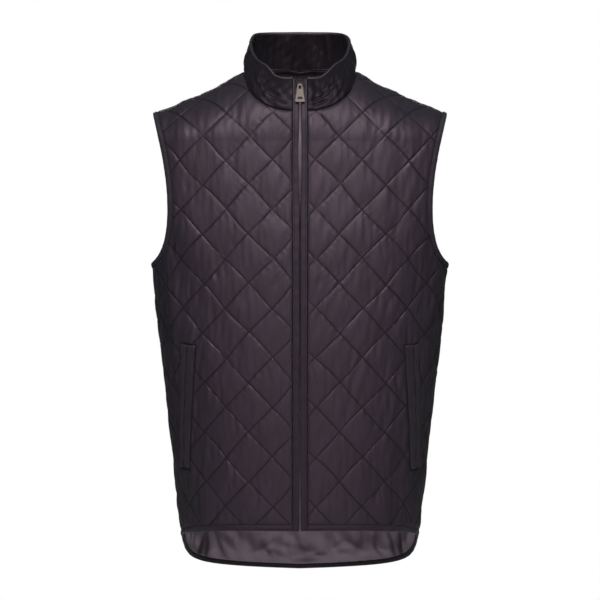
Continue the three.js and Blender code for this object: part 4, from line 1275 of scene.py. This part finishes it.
for side, hand in SIDES:
    add_placket(side, hand)
    add_tape(side, hand)

# Pockets: two folded jets along the slit, tacked at both ends


JET_SHARES = [0, 0.04, 0.14, 0.32, 0.55, 0.75, 0.86, 0.95, 1]
JET_HEIGHTS = [0.3, 1.3, 1.9, 2.15, 2.1, 1.8, 1.35, 1.45, 0.4]
JET_STEP = 2.5


def add_jet(name, hand, near, far):
    """A folded strip between two distances from the slit, rumpled along its length."""
    lengths = np.linspace(0, POCKET_LENGTH, round(POCKET_LENGTH / JET_STEP) + 1)
    seed = 7 + round(abs(far)) + hand
    wave = 0.3 * uneven(lengths, lengths * 0, 30, seed) + 0.12 * np.sin(lengths / 2.4)
    ends = smoothstep(np.minimum(lengths, POCKET_LENGTH - lengths), 0, 6)
    outer, under, cut = [], [], []
    for share, height in zip(JET_SHARES, JET_HEIGHTS):
        off = near + (far - near) * (1 - share if near < 0 else share)
        line = POCKET_TOP + POCKET_WAY * lengths[:, None] + POCKET_ASIDE * off
        flat = (line + POCKET_ASIDE * 1.1 * wave[:, None]) * (hand, 1)
        rumple = wave + 0.6 * uneven(np.full(len(lengths), off), lengths, 8, seed + 20, 5)
        rise = height * (0.6 + 0.4 * ends) + rumple * min(height, 1) * 0.8
        outer.append(Bed(FRONT, flat).lift(CLOTH + 0.5 + rise))
        under.append(Bed(FRONT, line * (hand, 1)).lift(CLOTH + 0.35))
        cut.append(flat)
    outer, under, cut = (np.stack(rows, axis=1) for rows in (outer, under, cut))
    wear(shell(name, outer, under, trim_cloth, cut.reshape(-1, 2)), "plain_shell", name)
    stitch_paths.append(outer[:, EDGE_ROW])


TACK_HALF, TACK_ROWS, TACK_GAP = 6.5, 4, 0.7


def bar_tack(hand, end, beyond):
    """Rows of close stitches across a pocket's end."""
    centre = end - (JETS_MIDDLE, 0)
    for k in range(TACK_ROWS):
        row = centre + [(-TACK_HALF, beyond + k * TACK_GAP), (TACK_HALF, beyond + k * TACK_GAP)]
        stitch_paths.append(Bed(FRONT, evenly(row, 1) * (hand, 1)).lift(CLOTH + 1.3))


for side, hand in SIDES:
    add_jet(f"pocket_front_jet_{side}", hand, -POCKET_SLIT / 2, -JET_FRONT)
    add_jet(f"pocket_rear_jet_{side}", hand, POCKET_SLIT / 2, JET_REAR)
    bar_tack(hand, POCKET_TOP, 0.3)
    bar_tack(hand, POCKET_FOOT, -2.6)

# Repeats: Geometry Nodes set one small shape along a line


def as_mesh(piece):
    """Turns what a piece's modifiers make into its own plain mesh."""
    graph = bpy.context.evaluated_depsgraph_get()
    made = bpy.data.meshes.new_from_object(piece.evaluated_get(graph))
    piece.modifiers.clear()
    old = piece.data
    piece.data = made
    bpy.data.meshes.remove(old)
    return piece


def line_piece(name, lines):
    """An object of loose edges through each line of points, in millimetres."""
    points, edges, start = [], [], 0
    for line in lines:
        points.append(line)
        edges += [(start + k, start + k + 1) for k in range(len(line) - 1)]
        start += len(line)
    mesh = bpy.data.meshes.new(name)
    mesh.from_pydata((np.vstack(points) * MM).tolist(), edges, [])
    return link(name, mesh)


def repeat_along(name, lines, pitch, unit, material):
    """Sets copies of the unit object along the lines, a pitch apart, its +X along the line."""
    piece = line_piece(name, lines)
    tree = bpy.data.node_groups.new(name, "GeometryNodeTree")
    face = tree.interface
    face.new_socket("Line", in_out="INPUT", socket_type="NodeSocketGeometry")
    spacing = face.new_socket("Pitch", in_out="INPUT", socket_type="NodeSocketFloat")
    shape = face.new_socket("Unit", in_out="INPUT", socket_type="NodeSocketObject")
    face.new_socket("Made", in_out="OUTPUT", socket_type="NodeSocketGeometry")
    given = tree.nodes.new("NodeGroupInput")
    curve = add_node(tree, "GeometryNodeMeshToCurve", links={"Mesh": given.outputs["Line"]})
    even = add_node(tree, "GeometryNodeResampleCurve", links={"Curve": curve.outputs[0]})
    even.mode = "LENGTH"
    tree.links.new(given.outputs["Pitch"], even.inputs["Length"])
    tangent = tree.nodes.new("GeometryNodeInputTangent")
    turn = add_node(tree, "FunctionNodeAlignRotationToVector", {"axis": "X"}, {"Vector": tangent.outputs[0]})
    info = add_node(tree, "GeometryNodeObjectInfo", links={"Object": given.outputs["Unit"]})
    copies = add_node(
        tree, "GeometryNodeInstanceOnPoints",
        links={"Points": even.outputs[0], "Instance": info.outputs["Geometry"], "Rotation": turn.outputs[0]},
    )
    real = add_node(tree, "GeometryNodeRealizeInstances", links={0: copies.outputs[0]})
    coated = add_node(tree, "GeometryNodeSetMaterial", {"Material": material}, {"Geometry": real.outputs[0]})
    result = tree.nodes.new("NodeGroupOutput")
    tree.links.new(coated.outputs[0], result.inputs[0])
    modifier = piece.modifiers.new(name, "NODES")
    modifier.node_group = tree
    modifier[spacing.identifier] = pitch * MM
    modifier[shape.identifier] = unit
    return as_mesh(piece)


def stitch_unit():
    """One stitch: 2.3 mm of thread that dips at both ends."""
    stations = [(-1.15, -0.25, 0.1), (0, 0.08, 0.24), (1.15, -0.25, 0.1)]
    angles = (math.pi / 2, math.pi * 7 / 6, math.pi * 11 / 6)
    rings = [[(x, r * math.cos(a), rise + r * math.sin(a)) for a in angles] for x, rise, r in stations]
    return sweep("stitch", np.array(rings), sewing_thread, np.zeros((9, 2)))


def quilt_stitch_lines(name):
    """The stitch lines of a panel, in its grooves, broken at the panel's edge and its pocket."""
    panel, outline = QUILTS[name].panel, outlines[name]
    a, b = lattice_span(name, outline)
    lines = []
    for first, second, crossed in ((a, b, False), (b, a, True)):
        for k in range(math.floor(first.min()), math.ceil(first.max()) + 1):
            m = np.arange(second.min(), second.max(), 2 / DIAMOND_SIDE)
            row = np.full(len(m), float(k))
            flat = quilt_place(name, m, row) if crossed else quilt_place(name, row, m)
            inside = is_inside(outline, flat)
            if name != "back":
                inside &= pocket_distance(flat) > 0.5
            starts = np.flatnonzero(np.diff(np.concatenate([[0], inside.astype(int), [0]])))
            for begin, end in zip(starts[::2], starts[1::2]):
                if end - begin > 5:
                    part = flat[begin:end]
                    depth = np.full(len(part), 20.0)
                    lines.append(Bed(panel, part).lift(quilt_height(name, part, depth) + 0.1))
    return lines


stitch = stitch_unit()
for name in outlines:
    rows = repeat_along(f"quilting_stitches_{name}", quilt_stitch_lines(name), 3.2, stitch, sewing_thread)
    wear(rows, "plain_shell")
rows = repeat_along("edge_stitches", stitch_paths, 3.0, stitch, sewing_thread)
wear(rows, "plain_shell")


def coil_unit():
    """One turn of the zip's nylon coil, 3 mm wide and smaller at its ends."""
    section = [(0.42, 0), (0.3, 0.34), (0, 0.46), (-0.3, 0.34)]
    section += [(-u, -v) for u, v in section]
    stations = [(-1.5, 0.75), (-0.9, 1.0), (0.6, 1.05), (1.2, 0.95), (1.5, 0.5)]
    rings = [[(u * size, y, v * size) for u, v in section] for y, size in stations]
    return sweep("coil_turn", np.array(rings), nylon, np.zeros((len(stations) * len(section), 2)))


def add_coil():
    """The chain's two coils, side by side and staggered, up to the slider's throat."""
    keep = zip_at <= throat
    left_line = zip_points[keep] - zip_out[keep] * COIL_SINK
    right_line = left_line.copy()
    left_line[:, 0] = COIL_OFF
    right_line[:, 0] = -COIL_OFF
    right_line = right_line[1:] * 0.5 + right_line[:-1] * 0.5
    piece = repeat_along("zip_chain", [left_line, right_line], COIL_PITCH, coil_turn, nylon)
    wear(piece, "zip_coil", "zip_chain")


coil_turn = coil_unit()
add_coil()
for unit in (stitch, coil_turn):
    bpy.data.objects.remove(unit)


# Zip slider and pull tab, in die-cast zinc


def zip_place():
    """The slider's own axes: x across, y up the zip and z out of the cloth."""
    way, out = zip_way[slider_index], zip_out[slider_index]
    place = Matrix(((1, way[0], out[0], 0), (0, way[1], out[1], 0), (0, way[2], out[2], 0), (0, 0, 0, 1)))
    place.translation = Vector((pivot - out * TAB_AXIS) * MM)
    return place


def cut_plate(name, outlines_2d, low, high, bevel, material, turn=Matrix.Identity(4)):
    """A plate with rounded edges from closed outlines, the first its rim and the rest its holes."""
    curve = bpy.data.curves.new(name, "CURVE")
    curve.dimensions = "2D"
    curve.fill_mode = "BOTH"
    curve.extrude = ((high - low) / 2 - bevel) * MM
    curve.bevel_depth = bevel * MM
    curve.bevel_resolution = 2
    curve.offset = -bevel * MM
    for points in outlines_2d:
        spline = curve.splines.new("POLY")
        spline.points.add(len(points) - 1)
        for spot, (x, y) in zip(spline.points, points):
            spot.co = (x * MM, y * MM, 0, 1)
        spline.use_cyclic_u = True
    holder = link(name, curve)
    graph = bpy.context.evaluated_depsgraph_get()
    mesh = bpy.data.meshes.new_from_object(holder.evaluated_get(graph))
    bpy.data.objects.remove(holder)
    mesh.transform(turn @ Matrix.Translation((0, 0, (low + high) / 2 * MM)))
    mesh.transform(zip_place())
    mesh.materials.clear()
    mesh.materials.append(material)
    mesh.polygons.foreach_set("use_smooth", [True] * len(mesh.polygons))
    return link(name, mesh)


def rounded(corners, radius, steps=5):
    """An outline whose corners are rounded; each corner may give its own radius."""
    points = []
    count = len(corners)
    for k in range(count):
        here = np.array(corners[k][:2], float)
        own = corners[k][2] if len(corners[k]) > 2 else radius
        before, after = (np.array(corners[(k + d) % count][:2], float) for d in (-1, 1))
        start = here + (before - here) / np.linalg.norm(before - here) * own
        end = here + (after - here) / np.linalg.norm(after - here) * own
        for f in np.linspace(0, 1, steps):
            points.append(start * (1 - f) ** 2 + 2 * here * f * (1 - f) + end * f * f)
    return points


def join_into(name, parts):
    """Joins several meshes, each with one material, into one piece."""
    points, faces, kinds, materials = [], [], [], []
    for part in parts:
        mesh = part.data
        start = len(points)
        points += [v.co.copy() for v in mesh.vertices]
        faces += [[start + v for v in p.vertices] for p in mesh.polygons]
        if mesh.materials[0] not in materials:
            materials.append(mesh.materials[0])
        kinds += [materials.index(mesh.materials[0])] * len(mesh.polygons)
        bpy.data.objects.remove(part)
    mesh = bpy.data.meshes.new(name)
    mesh.from_pydata(points, [], faces)
    for material in materials:
        mesh.materials.append(material)
    mesh.polygons.foreach_set("material_index", kinds)
    mesh.polygons.foreach_set("use_smooth", [True] * len(mesh.polygons))
    return link(name, mesh)


def add_slider():
    """Two plates on a post, with the bail over the front one."""
    body = rounded([(-3.9, -7), (3.9, -7), (4.9, 2.5, 2.5), (3.2, 6, 2), (-3.2, 6, 2), (-4.9, 2.5, 2.5)], 1.2)
    post = rounded([(-0.9, 0.5), (0.9, 0.5), (1.6, 5.4), (-1.6, 5.4)], 0.4)
    arch = rounded([
        (-3.4, 2.2, 0.1), (-3.4, 6.3, 2), (3.4, 6.3, 2), (3.4, 2.2, 0.1),
        (2.5, 2.2, 0.1), (2.5, 5.4, 1.4), (-2.5, 5.4, 1.4), (-2.5, 2.2, 0.1),
    ], 0.5)
    upright = Matrix(((0, 0, 1, 0), (1, 0, 0, 0), (0, 1, 0, 0), (0, 0, 0, 1)))
    # The slider's plates take the darker zinc, painted shade; the bail keeps the plated colour
    parts = [
        cut_plate("slider_face", [body], 1.2, 2.6, 0.35, dark_zinc),
        cut_plate("slider_back", [body], -2.6, -1.4, 0.35, dark_zinc),
        cut_plate("slider_post", [post], -1.5, 1.4, 0.1, dark_zinc),
        cut_plate("slider_bail", [arch], -1.1, 1.1, 0.3, plated_zinc, upright),
    ]
    wear(join_into("zip_slider", parts), "zip_metal", "zip_slider")


def add_pull_tab():
    """The plate widens to its foot. Its eye hangs on the bail, and a slot is cut near the foot."""
    rim = rounded([
        (-7, -28), (7, -28), (6.2, -20, 3), (4.3, -7, 4), (3.6, 0.95, 2), (-3.6, 0.95, 2),
        (-4.3, -7, 4), (-6.2, -20, 3),
    ], 0.9)
    eye = rounded([(-1.7, -0.95), (-1.7, -6.8), (1.7, -6.8), (1.7, -0.95)], 0.7)
    slot = rounded([(-3.3, -23.6), (-3.0, -19.8), (3.0, -19.8), (3.3, -23.6)], 0.3)
    piece = cut_plate("zip_pull_tab", [rim, eye, slot], TAB_AXIS - 0.8, TAB_AXIS + 0.8, 0.3, plated_zinc)
    wear(piece, "zip_metal", "zip_pull_tab", body="pull_tab")


add_slider()
add_pull_tab()

# Studio: soft lights from the front and above, and a pale floor and backdrop


def area_light(name, place, aim, size, power, spread):
    data = bpy.data.lights.new(name, "AREA")
    data.shape = "RECTANGLE"
    data.size, data.size_y = size
    data.energy = power
    data.spread = math.radians(spread)
    light = link(name, data)
    light.location = place
    light.rotation_euler = (Vector(aim) - Vector(place)).to_track_quat("-Z", "Y").to_euler()


FLOOR_Z = -0.95
STAGE_RADIUS = 1.2
WORLD_STRENGTH = 0.045
Lamp = namedtuple("Lamp", "name place aim size power spread")
LAMPS = [
    Lamp("key_softbox", (0, -1.75, 1.15), (0, -0.1, -0.1), (1.5, 0.8), 17, 110),
    Lamp("fill", (0, -3.0, -0.8), (0, 0, -0.6), (1.4, 1.0), 3.8, 180),
    Lamp("back_fill", (0, 2.8, 0.3), (0, 0, -0.35), (1.6, 1.2), 9, 120),
]


def add_floor():
    """A pale matt floor under the vest, and a white surround that only the camera sees."""
    paper, tree = new_material("matt_white_paper")
    place = add_node(tree, "ShaderNodeTexCoord").outputs["Object"]
    noise = add_node(tree, "ShaderNodeTexNoise", {"Scale": 300.0, "Detail": 3.0}, {"Vector": place})
    bump = add_node(
        tree, "ShaderNodeBump", {"Strength": 0.05, "Distance": MM}, {"Height": noise.outputs["Fac"]}
    )
    sheet = add_node(
        tree, "ShaderNodeBsdfPrincipled", {"Base Color": (0.8, 0.8, 0.8, 1), "Roughness": 0.9},
        {"Normal": bump.outputs[0]},
    )
    finish_with(tree, sheet)
    bpy.ops.mesh.primitive_circle_add(
        vertices=96, radius=STAGE_RADIUS, fill_type="NGON", location=(0, 0, FLOOR_Z)
    )
    floor = bpy.context.object
    floor.name = "floor"
    floor.data.materials.append(paper)
    surround, tree = new_material("white_surround")
    glow = add_node(tree, "ShaderNodeEmission", {"Color": (1, 1, 1, 1), "Strength": 1.0})
    finish_with(tree, glow)
    bpy.ops.mesh.primitive_ico_sphere_add(subdivisions=5, radius=12, location=(0, 0, 0))
    dome = bpy.context.object
    dome.name = "backdrop"
    dome.data.materials.append(surround)
    for ray in ("visible_diffuse", "visible_glossy", "visible_shadow", "visible_transmission"):
        setattr(dome, ray, False)


def add_studio():
    for lamp in LAMPS:
        area_light(*lamp)
    world = bpy.data.worlds.new("studio_world")
    world.use_nodes = True
    background = world.node_tree.nodes["Background"]
    background.inputs["Color"].default_value = (1, 1, 1, 1)
    background.inputs["Strength"].default_value = WORLD_STRENGTH
    bpy.context.scene.world = world
    add_floor()


add_studio()
bpy.context.scene.view_settings.view_transform = "Standard"
